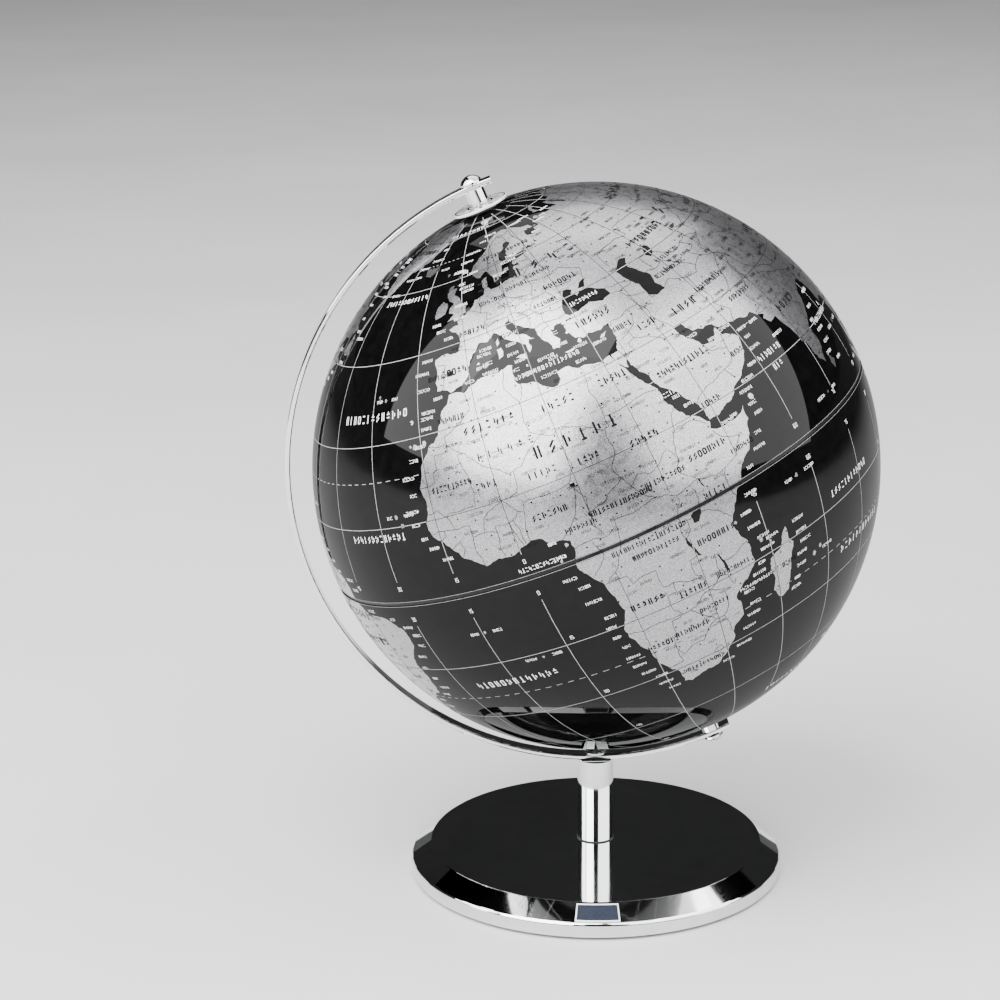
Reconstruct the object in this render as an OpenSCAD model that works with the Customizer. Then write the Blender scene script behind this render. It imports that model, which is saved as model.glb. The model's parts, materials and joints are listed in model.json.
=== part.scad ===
// Desktop globe on a chromed stand.
//
// A hollow plastic ball in two halves turns on two short polar pins held by
// the ends of a C-shaped metal strap.  The strap is screwed to a round post,
// and the post is bolted to a weighted disc base.
//
// Frame: millimetres, +Z up.  The origin is on the post's axis, on the face
// that the base rests on.  The strap lies in the XZ plane and bulges towards
// -X, so the north pole leans to -X.  -Y is the front.

/* [Globe] */
// Outside diameter of the ball
globe_d = 200; // [190:1:210]
// Wall thickness of the two half shells
shell_t = 2; // [1.6:0.1:3]
// Angle between the polar axis and the vertical, in degrees
axis_tilt = 23; // [20:0.5:26]
// Height of the ball's centre above the table
centre_h = 151.7; // [148:0.1:160]
// Width of the band that shows between the two halves
band_w = 1.2; // [0.8:0.1:2]

/* [Arm] */
// Radial gap between the ball and the inside of the arm
arm_gap = 7.7; // [7:0.1:9]
// Width of the strap
arm_w = 6; // [5:0.1:8]
// Thickness of the strap
arm_t = 2; // [1.6:0.1:3]
// Length of strap past the axis of each polar pin
arm_over = 6.8; // [5:0.1:9]

/* [Polar hardware] */
// Diameter of the two polar pins
pin_d = 4; // [3:0.5:5]
// Diameter of the round spacers inside the strap
spacer_d = 7; // [6:0.1:9]
// Diameter of the domed cap nuts
cap_d = 7.6; // [7:0.1:10]
// Height of the domed cap nuts
cap_h = 3; // [2.6:0.1:4]
// Diameter of the hour dial on the north pin
dial_d = 20; // [16:0.5:26]
// Thickness of the hour dial
dial_t = 1; // [0.6:0.1:1.2]

/* [Post] */
// Diameter of the post
post_d = 13; // [11:0.1:16]

/* [Base] */
// Diameter of the base at its side wall
base_d = 135; // [125:1:145]
// Diameter of the flat, polished top
base_top_d = 120; // [110:1:123]
// Height of the base above the table
base_h = 11.2; // [11:0.1:14]
// Height of the upper edge of the side wall
side_h = 6; // [5:0.1:7]
// Thickness of the pressed cover
cover_t = 1.6; // [1.2:0.1:2]
// Height at which the cover's lower rim ends, above the table
rim_h = 1; // [0.6:0.1:1.4]

/* [Plate] */
// Length of the blank plate along the bevel
plate_l = 15; // [10:1:20]
// Direction in which the plate faces, in degrees from +X
plate_dir = -93; // [-100:1:-80]

/* [Hidden] */

$fn = 96;

// Play between a thread or a fixed shank and its hole
thread_play = 0.02;
// Running clearance between a pin and the bore that turns on it
run_play = 0.05;
// Axial play between two stacked pieces that turn past each other
axial_play = 0.05;
// Overcut used by the booleans
eps = 0.5;

globe_r = globe_d / 2;
shell_in_r = globe_r - shell_t;
arm_in_r = globe_r + arm_gap;
arm_out_r = arm_in_r + arm_t;
pin_r = pin_d / 2;
post_r = post_d / 2;

// Polar stack, measured from the ball's centre outwards along the axis
bush_r = 4.4;
bush_hole_r = 4.5;
bush_flange_r = 6.5;
bush_flange_z = globe_r - 0.05;
bush_top_z = globe_r + 0.45;
bush_in_z = globe_r - 7;
washer_r = 5;
washer_t = 0.5;
washer_z = bush_top_z + axial_play;
dial_z = washer_z + washer_t + axial_play;
north_spacer_z = dial_z + dial_t + axial_play;
south_spacer_z = washer_z + washer_t;
push_nut_r = 8;
push_nut_t = 1;
pin_in_z = globe_r - 8;
cap_skirt_h = 0.8;
pin_out_z = arm_out_r + cap_h - 1.2;

// Equator ring
ring_recess = 0.3;
ring_sleeve_r = shell_in_r - 0.2;
ring_sleeve_t = 2;
ring_sleeve_h = 10;

// Base interior
weight_r = 57;
pad_t = 2;
pad_r = base_d / 2 - cover_t - 1;
pocket_z = 7;
pocket_r = 7;
bolt_r = 3;
bolt_head_r = 5;
bolt_head_h = 3.2;
bolt_up = 10;
base_washer_t = 1.2;
base_washer_r = 6.2;
hex_key_r = 2.3;
edge_r = 0.8;

// Arm screw
screw_r = 2;
screw_head_r = 3.8;
screw_head_h = 2.2;
screw_len = 14;

// Plate on the bevel
plate_t = 0.35;
plate_rail = 0.45;
plate_rail_t = 0.25;
plate_margin = 1;

// ---- geometry helpers ----------------------------------------------------

function unit(v) = v / norm(v);

// Arc that rounds the corner b between a and c with radius r
function rounded(a, b, c, r, n = 6) =
  let (u = unit(a - b),
       w = unit(c - b),
       half = acos(u * w) / 2,
       o = b + unit(u + w) * r / sin(half),
       p = b + u * r / tan(half) - o,
       q = b + w * r / tan(half) - o,
       a0 = atan2(p[1], p[0]),
       turn = (atan2(q[1], q[0]) - a0 + 540) % 360 - 180)
  [for (i = [0:n]) o + r * [cos(a0 + turn * i / n), sin(a0 + turn * i / n)]];

// Points of a circular arc about c
function arc(c, r, a0, a1, n) =
  [for (i = [0:n]) let (a = a0 + (a1 - a0) * i / n) c + r * [cos(a), sin(a)]];

// Places children on the tilted polar axis, with the ball's centre at z = 0
module on_axis() {
  translate([0, 0, centre_h]) rotate([0, -axis_tilt, 0]) children();
}

// The south half repeats the north half the other way up
module on_south_axis() {
  on_axis() rotate([180, 0, 0]) children();
}

// Round disc about Y with the ball's centre on its axis
module y_disc(r, w) {
  translate([0, 0, centre_h]) rotate([90, 0, 0]) cylinder(r = r, h = w, center = true, $fn = 240);
}

module ring(r_out, r_in, z0, z1) {
  difference() {
    translate([0, 0, z0]) cylinder(r = r_out, h = z1 - z0);
    translate([0, 0, z0 - eps]) cylinder(r = r_in, h = z1 - z0 + 2 * eps);
  }
}

// ---- base ----------------------------------------------------------------

base_r = base_d / 2;
base_top_r = base_top_d / 2;

module base_cover() {
  low = [base_r, rim_h];
  side = [base_r, side_h];
  brow = [base_top_r, base_h];
  outer = concat(
    rounded([base_r - cover_t, rim_h], low, side, 0.6),
    rounded(low, side, brow, 1.6),
    rounded(side, brow, [0, base_h], edge_r));
  inner = [
    [0, base_h - cover_t],
    [base_top_r - cover_t / 2, base_h - cover_t],
    [base_r - cover_t, side_h - cover_t / 2],
    [base_r - cover_t, rim_h]];
  color("silver") difference() {
    rotate_extrude($fn = 240) polygon(concat([[0, base_h]], inner, outer));
    translate([0, 0, base_h - cover_t - eps]) cylinder(r = bolt_r + 0.1, h = cover_t + 2 * eps);
  }
}

module base_weight() {
  color("dimgray") difference() {
    translate([0, 0, pad_t]) cylinder(r = weight_r, h = base_h - cover_t - pad_t, $fn = 180);
    translate([0, 0, pad_t - eps]) cylinder(r = pocket_r, h = pocket_z - pad_t + eps);
    cylinder(r = bolt_r + 0.2, h = base_h);
  }
}

module base_pad() {
  color("black") cylinder(r = pad_r, h = pad_t, $fn = 180);
}

module base_washer() {
  color("gray") ring(base_washer_r, bolt_r + 0.2, pocket_z - base_washer_t, pocket_z);
}

module base_bolt() {
  seat = pocket_z - base_washer_t;
  color("gray") difference() {
    union() {
      translate([0, 0, seat - bolt_head_h]) cylinder(r = bolt_head_r, h = bolt_head_h);
      translate([0, 0, seat]) cylinder(r = bolt_r, h = base_h + bolt_up - seat);
    }
    translate([0, 0, seat - bolt_head_h - eps]) cylinder(r = hex_key_r, h = 1.8 + eps, $fn = 6);
  }
}

// Section of the plate on the bevel, between s0 and s1 along the slope
module bevel_section(s0, s1, t0, t1) {
  foot = [base_r, side_h];
  slope = unit([base_top_r, base_h] - foot);
  out = [slope[1], -slope[0]];
  polygon([
    foot + slope * s0 + out * t0,
    foot + slope * s0 + out * t1,
    foot + slope * s1 + out * t1,
    foot + slope * s1 + out * t0]);
}

module name_plate() {
  slope_l = norm([base_r - base_top_r, base_h - side_h]);
  s0 = plate_margin;
  s1 = slope_l - plate_margin;
  span = plate_l / (base_r - (base_r - base_top_r) / 2) * 180 / PI;
  rail = plate_rail / base_r * 180 / PI;
  color("gainsboro") rotate([0, 0, plate_dir - span / 2]) union() {
    rotate_extrude(angle = span) bevel_section(s0, s1, 0, plate_t);
    for (s = [s0, s1 - plate_rail])
      rotate_extrude(angle = span) bevel_section(s, s + plate_rail, 0, plate_t + plate_rail_t);
    for (a = [0, span - rail])
      rotate([0, 0, a])
        rotate_extrude(angle = rail) bevel_section(s0, s1, 0, plate_t + plate_rail_t);
  }
}

// ---- post and arm --------------------------------------------------------

module post() {
  top = centre_h - arm_out_r;
  color("silver") difference() {
    rotate_extrude()
      polygon([[0, base_h], [post_r, base_h], [post_r, top], [post_r - 0.4, top + 0.4], [0, top + 0.4]]);
    y_disc(arm_out_r, 3 * post_d);
    translate([0, 0, base_h - eps]) cylinder(r = bolt_r + thread_play, h = bolt_up + 2 + eps);
    translate([0, 0, top - screw_len]) cylinder(r = screw_r + thread_play, h = screw_len + 2);
  }
}

module strap_section() {
  r = 0.6;
  x0 = arm_in_r;
  x1 = arm_out_r;
  y = arm_w / 2;
  polygon(concat(
    rounded([x0, y], [x0, -y], [x1, -y], r, 4),
    rounded([x0, -y], [x1, -y], [x1, y], r, 4),
    rounded([x1, -y], [x1, y], [x0, y], r, 4),
    rounded([x1, y], [x0, y], [x0, -y], r, 4)));
}

module arm() {
  over = arm_over / arm_in_r * 180 / PI;
  color("silver") difference() {
    on_axis() rotate([90, 0, 0]) rotate([0, 0, 90 - over])
      rotate_extrude(angle = 180 + 2 * over, $fn = 240) strap_section();
    on_axis() cylinder(r = pin_r + run_play, h = 3 * arm_in_r, center = true);
    translate([0, 0, centre_h - arm_out_r - 2]) cylinder(r = screw_r + 0.1, h = arm_t + 6);
  }
}

module arm_screw() {
  seat = centre_h - arm_in_r;
  dome_r = (screw_head_r * screw_head_r + 1.6 * 1.6) / (2 * 1.6);
  color("gray") difference() {
    union() {
      intersection() {
        translate([0, 0, seat - 1]) cylinder(r = screw_head_r, h = 1 + screw_head_h);
        translate([0, 0, seat + screw_head_h - dome_r]) sphere(r = dome_r);
        y_disc(arm_in_r, 3 * post_d);
      }
      translate([0, 0, seat - screw_len]) cylinder(r = screw_r, h = screw_len + 0.2);
    }
    translate([0, 0, seat + 0.8]) cylinder(r = 1.4, h = screw_head_h, $fn = 6);
  }
}

// ---- polar hardware ------------------------------------------------------

module pin_shape() {
  color("gray") rotate_extrude()
    polygon([
      [0, pin_in_z], [pin_r - 0.4, pin_in_z], [pin_r, pin_in_z + 0.4],
      [pin_r, pin_out_z - 0.3], [pin_r - 0.3, pin_out_z], [0, pin_out_z]]);
}

module cap_nut_shape() {
  r = cap_d / 2;
  dome_h = cap_h - cap_skirt_h;
  dome_r = (r * r + dome_h * dome_h) / (2 * dome_h);
  top = arm_out_r + cap_h;
  rise = asin((dome_r - dome_h) / dome_r);
  color("silver") difference() {
    rotate_extrude()
      polygon(concat(
        [[0, arm_out_r], [r - 0.2, arm_out_r], [r, arm_out_r + 0.2]],
        arc([0, top - dome_r], dome_r, rise, 90, 10)));
    translate([0, 0, arm_out_r - eps])
      cylinder(r = pin_r + thread_play, h = pin_out_z - arm_out_r + 0.1 + eps);
  }
}

// Threaded tube that clamps the strap against the cap nut
module spacer_shape(z0) {
  color("silver") difference() {
    intersection() {
      translate([0, 0, z0]) cylinder(r = spacer_d / 2, h = arm_in_r - z0 + 1);
      rotate([90, 0, 0]) cylinder(r = arm_in_r, h = 3 * spacer_d, center = true, $fn = 240);
    }
    translate([0, 0, z0 - eps]) cylinder(r = pin_r + thread_play, h = arm_gap + 2);
  }
}

module washer_shape() {
  color("white") ring(washer_r, pin_r + thread_play, washer_z, washer_z + washer_t);
}

module bush_shape() {
  color("white") difference() {
    rotate_extrude()
      polygon([
        [0, bush_in_z], [bush_r - 0.4, bush_in_z], [bush_r, bush_in_z + 0.4],
        [bush_r, bush_flange_z], [bush_flange_r, bush_flange_z],
        [bush_flange_r, bush_top_z - 0.15], [bush_flange_r - 0.15, bush_top_z], [0, bush_top_z]]);
    translate([0, 0, bush_in_z - eps])
      cylinder(r = pin_r + run_play, h = bush_top_z - bush_in_z + 2 * eps);
  }
}

module push_nut_shape() {
  seat = sqrt(shell_in_r * shell_in_r - push_nut_r * push_nut_r) - 0.05;
  color("gray") ring(push_nut_r, bush_r + thread_play, seat - push_nut_t, seat);
}

module north_pin() { on_axis() pin_shape(); }
module south_pin() { on_south_axis() pin_shape(); }
module north_cap_nut() { on_axis() cap_nut_shape(); }
module south_cap_nut() { on_south_axis() cap_nut_shape(); }
module north_spacer() { on_axis() spacer_shape(north_spacer_z); }
module south_spacer() { on_south_axis() spacer_shape(south_spacer_z); }
module north_washer() { on_axis() washer_shape(); }
module south_washer() { on_south_axis() washer_shape(); }
module north_bush() { on_axis() bush_shape(); }
module south_bush() { on_south_axis() bush_shape(); }
module north_push_nut() { on_axis() push_nut_shape(); }
module south_push_nut() { on_south_axis() push_nut_shape(); }

module hour_dial() {
  r = dial_d / 2;
  z1 = dial_z + dial_t;
  color("silver") on_axis() difference() {
    rotate_extrude()
      polygon([
        [0, dial_z], [r - 0.2, dial_z], [r, dial_z + 0.2],
        [r, z1 - 0.2], [r - 0.2, z1], [0, z1]]);
    translate([0, 0, dial_z - eps]) cylinder(r = pin_r + run_play, h = dial_t + 2 * eps);
  }
}

// ---- ball ----------------------------------------------------------------

module half_shell() {
  difference() {
    sphere(r = globe_r, $fn = 120);
    sphere(r = shell_in_r, $fn = 120);
    translate([0, 0, band_w / 2 - globe_d])
      cylinder(r = globe_d, h = globe_d);
    cylinder(r = bush_hole_r, h = globe_d);
  }
}

module north_hemisphere() { color("dimgray") on_axis() half_shell(); }
module south_hemisphere() { color("dimgray") on_south_axis() half_shell(); }

module equator_ring() {
  r = globe_r - ring_recess;
  sleeve_in = ring_sleeve_r - ring_sleeve_t;
  color("black") on_axis() union() {
    ring(r, sleeve_in, -band_w / 2, band_w / 2);
    ring(ring_sleeve_r, sleeve_in, -ring_sleeve_h / 2, ring_sleeve_h / 2);
  }
}

base_cover();
base_weight();
base_pad();
base_bolt();
base_washer();
name_plate();
post();
arm();
arm_screw();
north_pin();
south_pin();
north_cap_nut();
south_cap_nut();
north_spacer();
south_spacer();
north_washer();
south_washer();
hour_dial();
north_hemisphere();
south_hemisphere();
equator_ring();
north_bush();
south_bush();
north_push_nut();
south_push_nut();
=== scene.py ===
"""Looks of the desktop globe on its chromed stand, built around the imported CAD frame."""
import json
import math
import random

import bpy
import numpy as np
from mathutils import Matrix, Vector
from mathutils.geometry import delaunay_2d_cdt


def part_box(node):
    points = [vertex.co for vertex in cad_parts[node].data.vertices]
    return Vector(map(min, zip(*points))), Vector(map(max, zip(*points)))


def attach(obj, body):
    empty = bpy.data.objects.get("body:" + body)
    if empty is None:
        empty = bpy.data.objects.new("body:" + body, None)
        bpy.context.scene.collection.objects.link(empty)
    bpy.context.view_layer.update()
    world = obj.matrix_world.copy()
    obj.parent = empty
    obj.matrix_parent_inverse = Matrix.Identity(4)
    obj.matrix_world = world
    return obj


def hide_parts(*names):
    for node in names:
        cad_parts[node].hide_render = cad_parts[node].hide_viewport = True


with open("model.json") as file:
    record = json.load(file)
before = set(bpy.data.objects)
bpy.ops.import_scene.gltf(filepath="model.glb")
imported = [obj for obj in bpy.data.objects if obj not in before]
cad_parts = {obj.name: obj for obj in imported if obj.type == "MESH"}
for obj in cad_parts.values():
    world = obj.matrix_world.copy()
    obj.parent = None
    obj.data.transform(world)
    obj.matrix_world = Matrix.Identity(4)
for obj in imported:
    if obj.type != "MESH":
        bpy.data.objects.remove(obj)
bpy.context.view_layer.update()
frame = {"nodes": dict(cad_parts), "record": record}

MM = 0.001
SPIN = next(j for j in frame["record"]["behaviour"]["joints"] if j["name"] == "globe_spin")
CENTRE = Vector(SPIN["pos_m"])
POLE = Vector(SPIN["axis"]).normalized()        # towards the north pole
SIDE = Vector((POLE.z, 0.0, -POLE.x))           # across the pole, in the plane of the arm
FRONT = Vector((0.0, 1.0, 0.0))                 # third axis of the ball, away from the front
SHELL_R = 100.0 * MM                            # the ball's outside, as in part.scad
SHELL_T = 2.0 * MM                              # its wall
RIM_STEP = 0.01 * MM                            # keeps the rim inside the print
PRIME = -106.97                                 # turn of the printed prime meridian, in degrees
BAND_EDGE = 0.35                                # latitude where each half shell stops, in degrees
HOLE_LAT = 87.4                                 # latitude of the polar holes, in degrees
DIAL_TOP = 102.05 * MM                          # outer face of the hour dial, from the centre
DIAL_LIFT = 0.02 * MM                           # print stands this far off the dial
INK_LIFT = 0.03 * MM                            # print stands this far off the ball
LINE_R = SHELL_R + INK_LIFT                     # map lines; each layer lies over the last
BORDER_R = LINE_R + 0.01 * MM
TEXT_R = LINE_R + 0.02 * MM
CELL = 2.0                                      # spacing of the ball's own grid, in degrees

# ---------------------------------------------------------------- map outlines
# Longitude and latitude in degrees, from general knowledge of the map.  The
# coast is roughened between the points, so each point only marks a bend.
LAND = {
    "africa": [
        (-6, 35.8), (-2, 35.2), (1, 36.3), (5, 36.8), (10, 37.3), (11, 37), (10.4, 34.5), (11, 33.3),
        (15, 32.4), (16, 31.3), (19, 30.3), (20, 31), (20, 32.6), (23, 32.7), (25, 31.6), (29, 31),
        (32, 31.3), (32.6, 29.9), (33.6, 27.8), (35.5, 24), (37.3, 21), (37.4, 18.8), (39.5, 15.5),
        (41.2, 14.6), (43.2, 12.5), (42.6, 11.4), (45, 10.6), (51.2, 11.9), (50.8, 9.4), (48, 4.5),
        (44, 1), (41.5, -1.8), (39.5, -4.5), (38.8, -6.5), (39.5, -9), (40.6, -11), (40.6, -15),
        (37, -17.8), (34.8, -20), (35.5, -22.5), (35.4, -24.5), (32.8, -26), (32.4, -28.5),
        (30, -31.3), (27, -33.6), (22, -34.2), (20, -34.8), (18.4, -34), (18.3, -32), (16.5, -28.6),
        (15, -26.5), (14.4, -22.5), (12, -18), (11.8, -16), (13.6, -12.3), (13, -9), (12.2, -6),
        (9.5, -2.5), (8.9, -0.8), (9.5, 1), (9.7, 4), (8.5, 4.6), (6, 4.3), (4.5, 6.3), (1, 5.9),
        (-2, 4.8), (-4.5, 5.2), (-7.5, 4.4), (-9.5, 5.8), (-11.5, 6.9), (-13.2, 9), (-15, 11),
        (-16.8, 12.4), (-17.3, 14.7), (-16.3, 16.5), (-16.2, 19), (-17, 21), (-15.8, 23.8),
        (-14.6, 26), (-13, 27.8), (-10.2, 29.3), (-9.7, 31), (-8.5, 33.3), (-6.8, 34.2)],
    "eurasia": [
        (34.2, 31.3), (34.9, 32.5), (35.8, 35), (36, 36.7), (33.5, 36.2), (30.6, 36.8), (29, 36.3),
        (27.3, 37), (26.3, 39), (26.2, 40), (26, 40.8), (24, 40.8), (23.7, 40.2), (22.8, 40.4),
        (23, 39), (24, 38), (23, 36.5), (21.7, 37), (21, 38.5), (19.5, 40.5), (19.4, 42), (16.5, 43.4),
        (14.5, 45), (13.6, 45.6), (12.3, 45.3), (12.4, 44.2), (14, 42.5), (16, 41.9), (18.4, 40.2),
        (17, 40.5), (16.6, 39.6), (17, 39), (16, 38), (15.8, 39.8), (14.3, 40.8), (12.2, 41.8),
        (10.4, 43.2), (8.8, 44.4), (6.5, 43.1), (4, 43.5), (3.1, 42.5), (0.8, 40.8), (-0.3, 39.4),
        (0.1, 38.7), (-0.8, 37.7), (-2.2, 36.8), (-5.4, 36.1), (-6.3, 36.8), (-9, 37.1), (-9.4, 38.7),
        (-8.8, 41), (-9.2, 43.1), (-7, 43.6), (-1.8, 43.4), (-1.2, 45.5), (-2.5, 47.4), (-4.6, 48.3),
        (-1.6, 48.7), (-1.8, 49.6), (0.2, 49.6), (1.6, 50.8), (4, 51.8), (4.8, 53), (8.5, 53.6),
        (8.3, 55.5), (8.3, 57), (10.5, 57.7), (10.3, 56.3), (9.8, 55), (11, 54), (14, 54),
        (18.5, 54.8), (19.8, 54.5), (21, 55.5), (21.5, 57.4), (24, 57.2), (23.5, 59.2), (28, 59.6),
        (30, 60), (28, 60.5), (23, 59.9), (21.3, 61), (21.5, 63.3), (25.3, 65), (24, 65.8),
        (22, 65.6), (21, 64), (17.5, 62), (17.2, 60.7), (19, 59.8), (16.5, 57), (14.3, 55.6),
        (12.9, 55.5), (11.2, 59), (10.5, 59.3), (8, 58), (5.6, 58.9), (5, 61.8), (8, 63.6),
        (12, 65.5), (14.5, 67.8), (18, 69.6), (25, 71), (31, 70.3), (33, 69.4), (40, 67.8),
        (41, 66.5), (35, 66.6), (34.7, 64.5), (38, 64), (40.5, 64.6), (40.5, 66), (44, 66.1),
        (44, 68.4), (46, 68), (53, 68.6), (59, 68.8), (60.5, 69.8), (66.5, 69), (67, 71.2),
        (69, 72.9), (72.8, 72.6), (72, 70), (73.5, 67.6), (75, 69), (74, 72.8), (80, 73.4), (87, 75),
        (98, 76.2), (104, 77.7), (113, 75.8), (113, 73.7), (127, 73.3), (130, 71), (140, 72.6),
        (152, 71), (160, 69.7), (170, 69.5), (180, 68.8), (190, 66.2), (187, 64.4), (180, 65),
        (178, 62.5), (170, 60), (163.5, 59.8), (162, 56), (156.7, 51), (156, 57), (160, 61.5),
        (155, 59.3), (143, 59.3), (135.3, 54.7), (141, 52.5), (140, 48), (135.5, 43.8), (131, 42.6),
        (127.6, 39.8), (129.4, 36.5), (128.8, 35), (126.5, 34.4), (126.7, 37.5), (125, 39.6),
        (121.5, 39), (121.5, 40.8), (118, 39), (122.5, 37.2), (119.3, 35), (121.8, 31.8),
        (121.5, 28.5), (119, 25.3), (114, 22.4), (110.5, 21.2), (108.3, 21.6), (106, 19.6),
        (107.3, 16.8), (109.2, 12), (106.8, 10.4), (104.8, 8.8), (105, 10.3), (102.5, 12),
        (100.8, 13.4), (99.3, 10.5), (100.4, 7.3), (103.4, 4.5), (103.8, 1.4), (101.3, 2.8),
        (98.3, 8), (98.6, 12), (97.5, 16.5), (94.3, 16), (94, 19), (91.7, 22.6), (88.8, 21.7),
        (86.8, 20.8), (82.3, 16.7), (80.2, 15.4), (80, 11.5), (78, 8.3), (76.4, 9.8), (74.4, 14.8),
        (72.8, 20), (72.5, 21.3), (70.3, 20.9), (69, 22.3), (70, 22.8), (67, 24.8), (61.5, 25.2),
        (57.4, 25.7), (56.3, 27), (51.5, 27.8), (50, 30.2), (48, 30), (48.3, 28.4), (50.1, 26.5),
        (51, 24.8), (54, 24.2), (56.3, 26.2), (56.6, 24.4), (59.8, 22.5), (57.7, 19), (55.2, 17.2),
        (52, 15.7), (45, 12.8), (43.4, 12.8), (42.7, 16.4), (39.2, 21), (37.2, 24.8), (35, 28),
        (34.9, 29.4), (34.3, 27.8), (32.7, 29.6), (32.4, 31.2)],
    "north_america": [
        (-168, 65.7), (-162, 66.5), (-166, 68.4), (-156.5, 71.2), (-141, 69.7), (-128, 70.2),
        (-115, 68.5), (-108, 68), (-96, 68.2), (-94, 71.8), (-88, 68.5), (-82, 69.5), (-81.5, 67.5),
        (-87, 65), (-94, 61), (-94.5, 58.8), (-88, 56.7), (-82.3, 55.2), (-80, 51.3), (-79, 54.5),
        (-77, 57.5), (-78, 62.3), (-70, 61), (-65, 59), (-62, 57.5), (-56, 52.3), (-60, 50.2),
        (-66.5, 50), (-70, 47), (-65, 48.8), (-64.5, 46), (-61, 45.5), (-66, 43.7), (-70.5, 43),
        (-70, 41.7), (-74, 40.5), (-76, 37), (-75.7, 35.3), (-81, 31.5), (-80, 26.5), (-81, 25.2),
        (-82.7, 28), (-84, 30), (-89.5, 30), (-91, 29.2), (-94.5, 29.4), (-97.4, 27), (-97.5, 22),
        (-95, 18.5), (-91, 18.6), (-90.3, 21), (-87, 21.4), (-88.5, 16), (-83.4, 15), (-83.7, 11),
        (-81, 8.8), (-77.2, 8.9), (-77.8, 7), (-80.3, 7.4), (-83.5, 8.5), (-87.5, 12.8),
        (-94.5, 16.2), (-101.5, 17.6), (-105.6, 20.4), (-109.4, 25.8), (-113.2, 31.2), (-114.6, 31.2),
        (-109.7, 23), (-112.2, 25), (-115, 28.5), (-117.2, 32.7), (-120.6, 34.6), (-124.3, 40.3),
        (-124, 46.3), (-123, 49), (-127.8, 51.5), (-133, 56), (-139.7, 59.6), (-146, 60.8),
        (-151.7, 59.2), (-158, 56), (-164.5, 54.6), (-158.5, 58.5), (-164.8, 60.5), (-165, 63),
        (-161, 64.5)],
    "south_america": [
        (-77.2, 8.9), (-75.5, 10.8), (-71.6, 12.4), (-68, 11), (-62, 10.7), (-57, 6), (-51.5, 4.3),
        (-50, 0.5), (-48.5, -1), (-44.3, -2.6), (-40, -2.9), (-35.3, -5.3), (-35, -9), (-39, -13.5),
        (-39.2, -18), (-41, -22), (-46, -24), (-48.6, -27), (-52, -32.5), (-55, -34.9), (-58.4, -34),
        (-56.8, -36.6), (-62, -39), (-65, -41), (-65.5, -45), (-67.6, -46.5), (-65.8, -48),
        (-69, -51.5), (-65.3, -54.8), (-70, -55.4), (-74.5, -52), (-75.6, -47), (-73.8, -42),
        (-73.5, -37), (-71.5, -32), (-70.2, -19), (-76, -14), (-79.6, -7.2), (-81.3, -4.5),
        (-80, -2.5), (-80.5, 0), (-78.8, 1.8), (-77.3, 4), (-78, 7)],
    "australia": [
        (113.5, -22), (114, -26), (115, -34), (118, -35), (124, -33), (131, -31.5), (135.5, -34.8),
        (138, -33.5), (140.5, -38), (146.5, -39), (150, -37.3), (153.3, -30), (153, -25.5),
        (149, -20.5), (146, -18.8), (145.3, -15), (142.6, -10.8), (141, -13.5), (140.8, -17.5),
        (137, -16), (136.8, -12.2), (132.5, -11.5), (129.6, -15), (126, -14), (122.3, -18)],
    "antarctica": [
        (-180, -78), (-160, -77), (-150, -76), (-135, -74), (-115, -73.5), (-100, -73), (-80, -73.3),
        (-67, -71), (-66, -67.5), (-57, -63.4), (-61, -68), (-61, -74), (-55, -78), (-35, -78),
        (-20, -73.5), (0, -70), (20, -69.8), (40, -69), (55, -66), (70, -69.5), (85, -66.5),
        (110, -66), (135, -66.2), (150, -68.5), (165, -71), (165, -78)],
    "greenland": [
        (-73, 78.3), (-60, 82), (-32, 83.6), (-12, 81.5), (-20, 76), (-22, 71.5), (-26, 68.5),
        (-37, 66), (-43.5, 60), (-49, 61.5), (-53.5, 67), (-51, 70), (-58, 75.5), (-68, 76)],
    "great_britain": [
        (-5.5, 50.1), (-3.5, 50.4), (1.2, 51), (1.6, 52.7), (0, 53), (-1.7, 55.5), (-3, 56),
        (-2, 57.6), (-4, 57.7), (-3.2, 58.6), (-5.2, 58.4), (-6, 56.6), (-5, 55), (-3, 54),
        (-4.5, 53.2), (-4.8, 52), (-3, 51.4)],
    "ireland": [(-6.3, 52.2), (-9.8, 51.5), (-9.8, 54), (-7.5, 55.3), (-5.6, 54.5)],
    "iceland": [
        (-22.5, 64), (-18.8, 63.4), (-14, 64.6), (-14.8, 66.2), (-20, 66), (-23.8, 66.2)],
    "sicily": [(12.5, 38), (15.2, 38.2), (15.1, 36.8)],
    "sardinia": [(8.4, 39), (9.6, 39.3), (9.6, 41), (8.4, 40.9)],
    "corsica": [(8.8, 41.5), (9.5, 42), (9.4, 43), (8.7, 42.4)],
    "crete": [(23.6, 35.3), (26.2, 35.2), (25.5, 35), (24, 35.1)],
    "cyprus": [(32.4, 34.9), (33.5, 34.8), (34.5, 35.6), (33, 35.3)],
    "balearics": [(2.4, 39.5), (3.3, 39.4), (3.1, 39.9)],
    "novaya_zemlya": [(52, 71.5), (57, 70.8), (56, 73), (68, 76.8), (60, 76.2), (54, 73.5)],
    "svalbard": [(11, 79), (16, 76.7), (21, 78.5), (27, 80), (16, 80)],
    "severnaya": [(96, 79), (104, 79), (96, 81)],
    "madagascar": [
        (49.3, -12), (50.4, -15.7), (49.5, -17.5), (47.2, -24.8), (45, -25.5), (43.5, -23),
        (44.3, -20), (44.2, -16.3), (47, -15.4)],
    "sri_lanka": [(80, 9.7), (81.8, 7.5), (80.5, 6), (79.8, 7.5)],
    "sumatra": [(95.4, 5.6), (100.5, 2), (103.8, -1.5), (105.8, -5.7), (102, -3.8), (98.8, 1)],
    "java": [(105.3, -6.7), (108.5, -6.7), (114.4, -7.8), (110, -8.1), (106.5, -7.4)],
    "borneo": [
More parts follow.
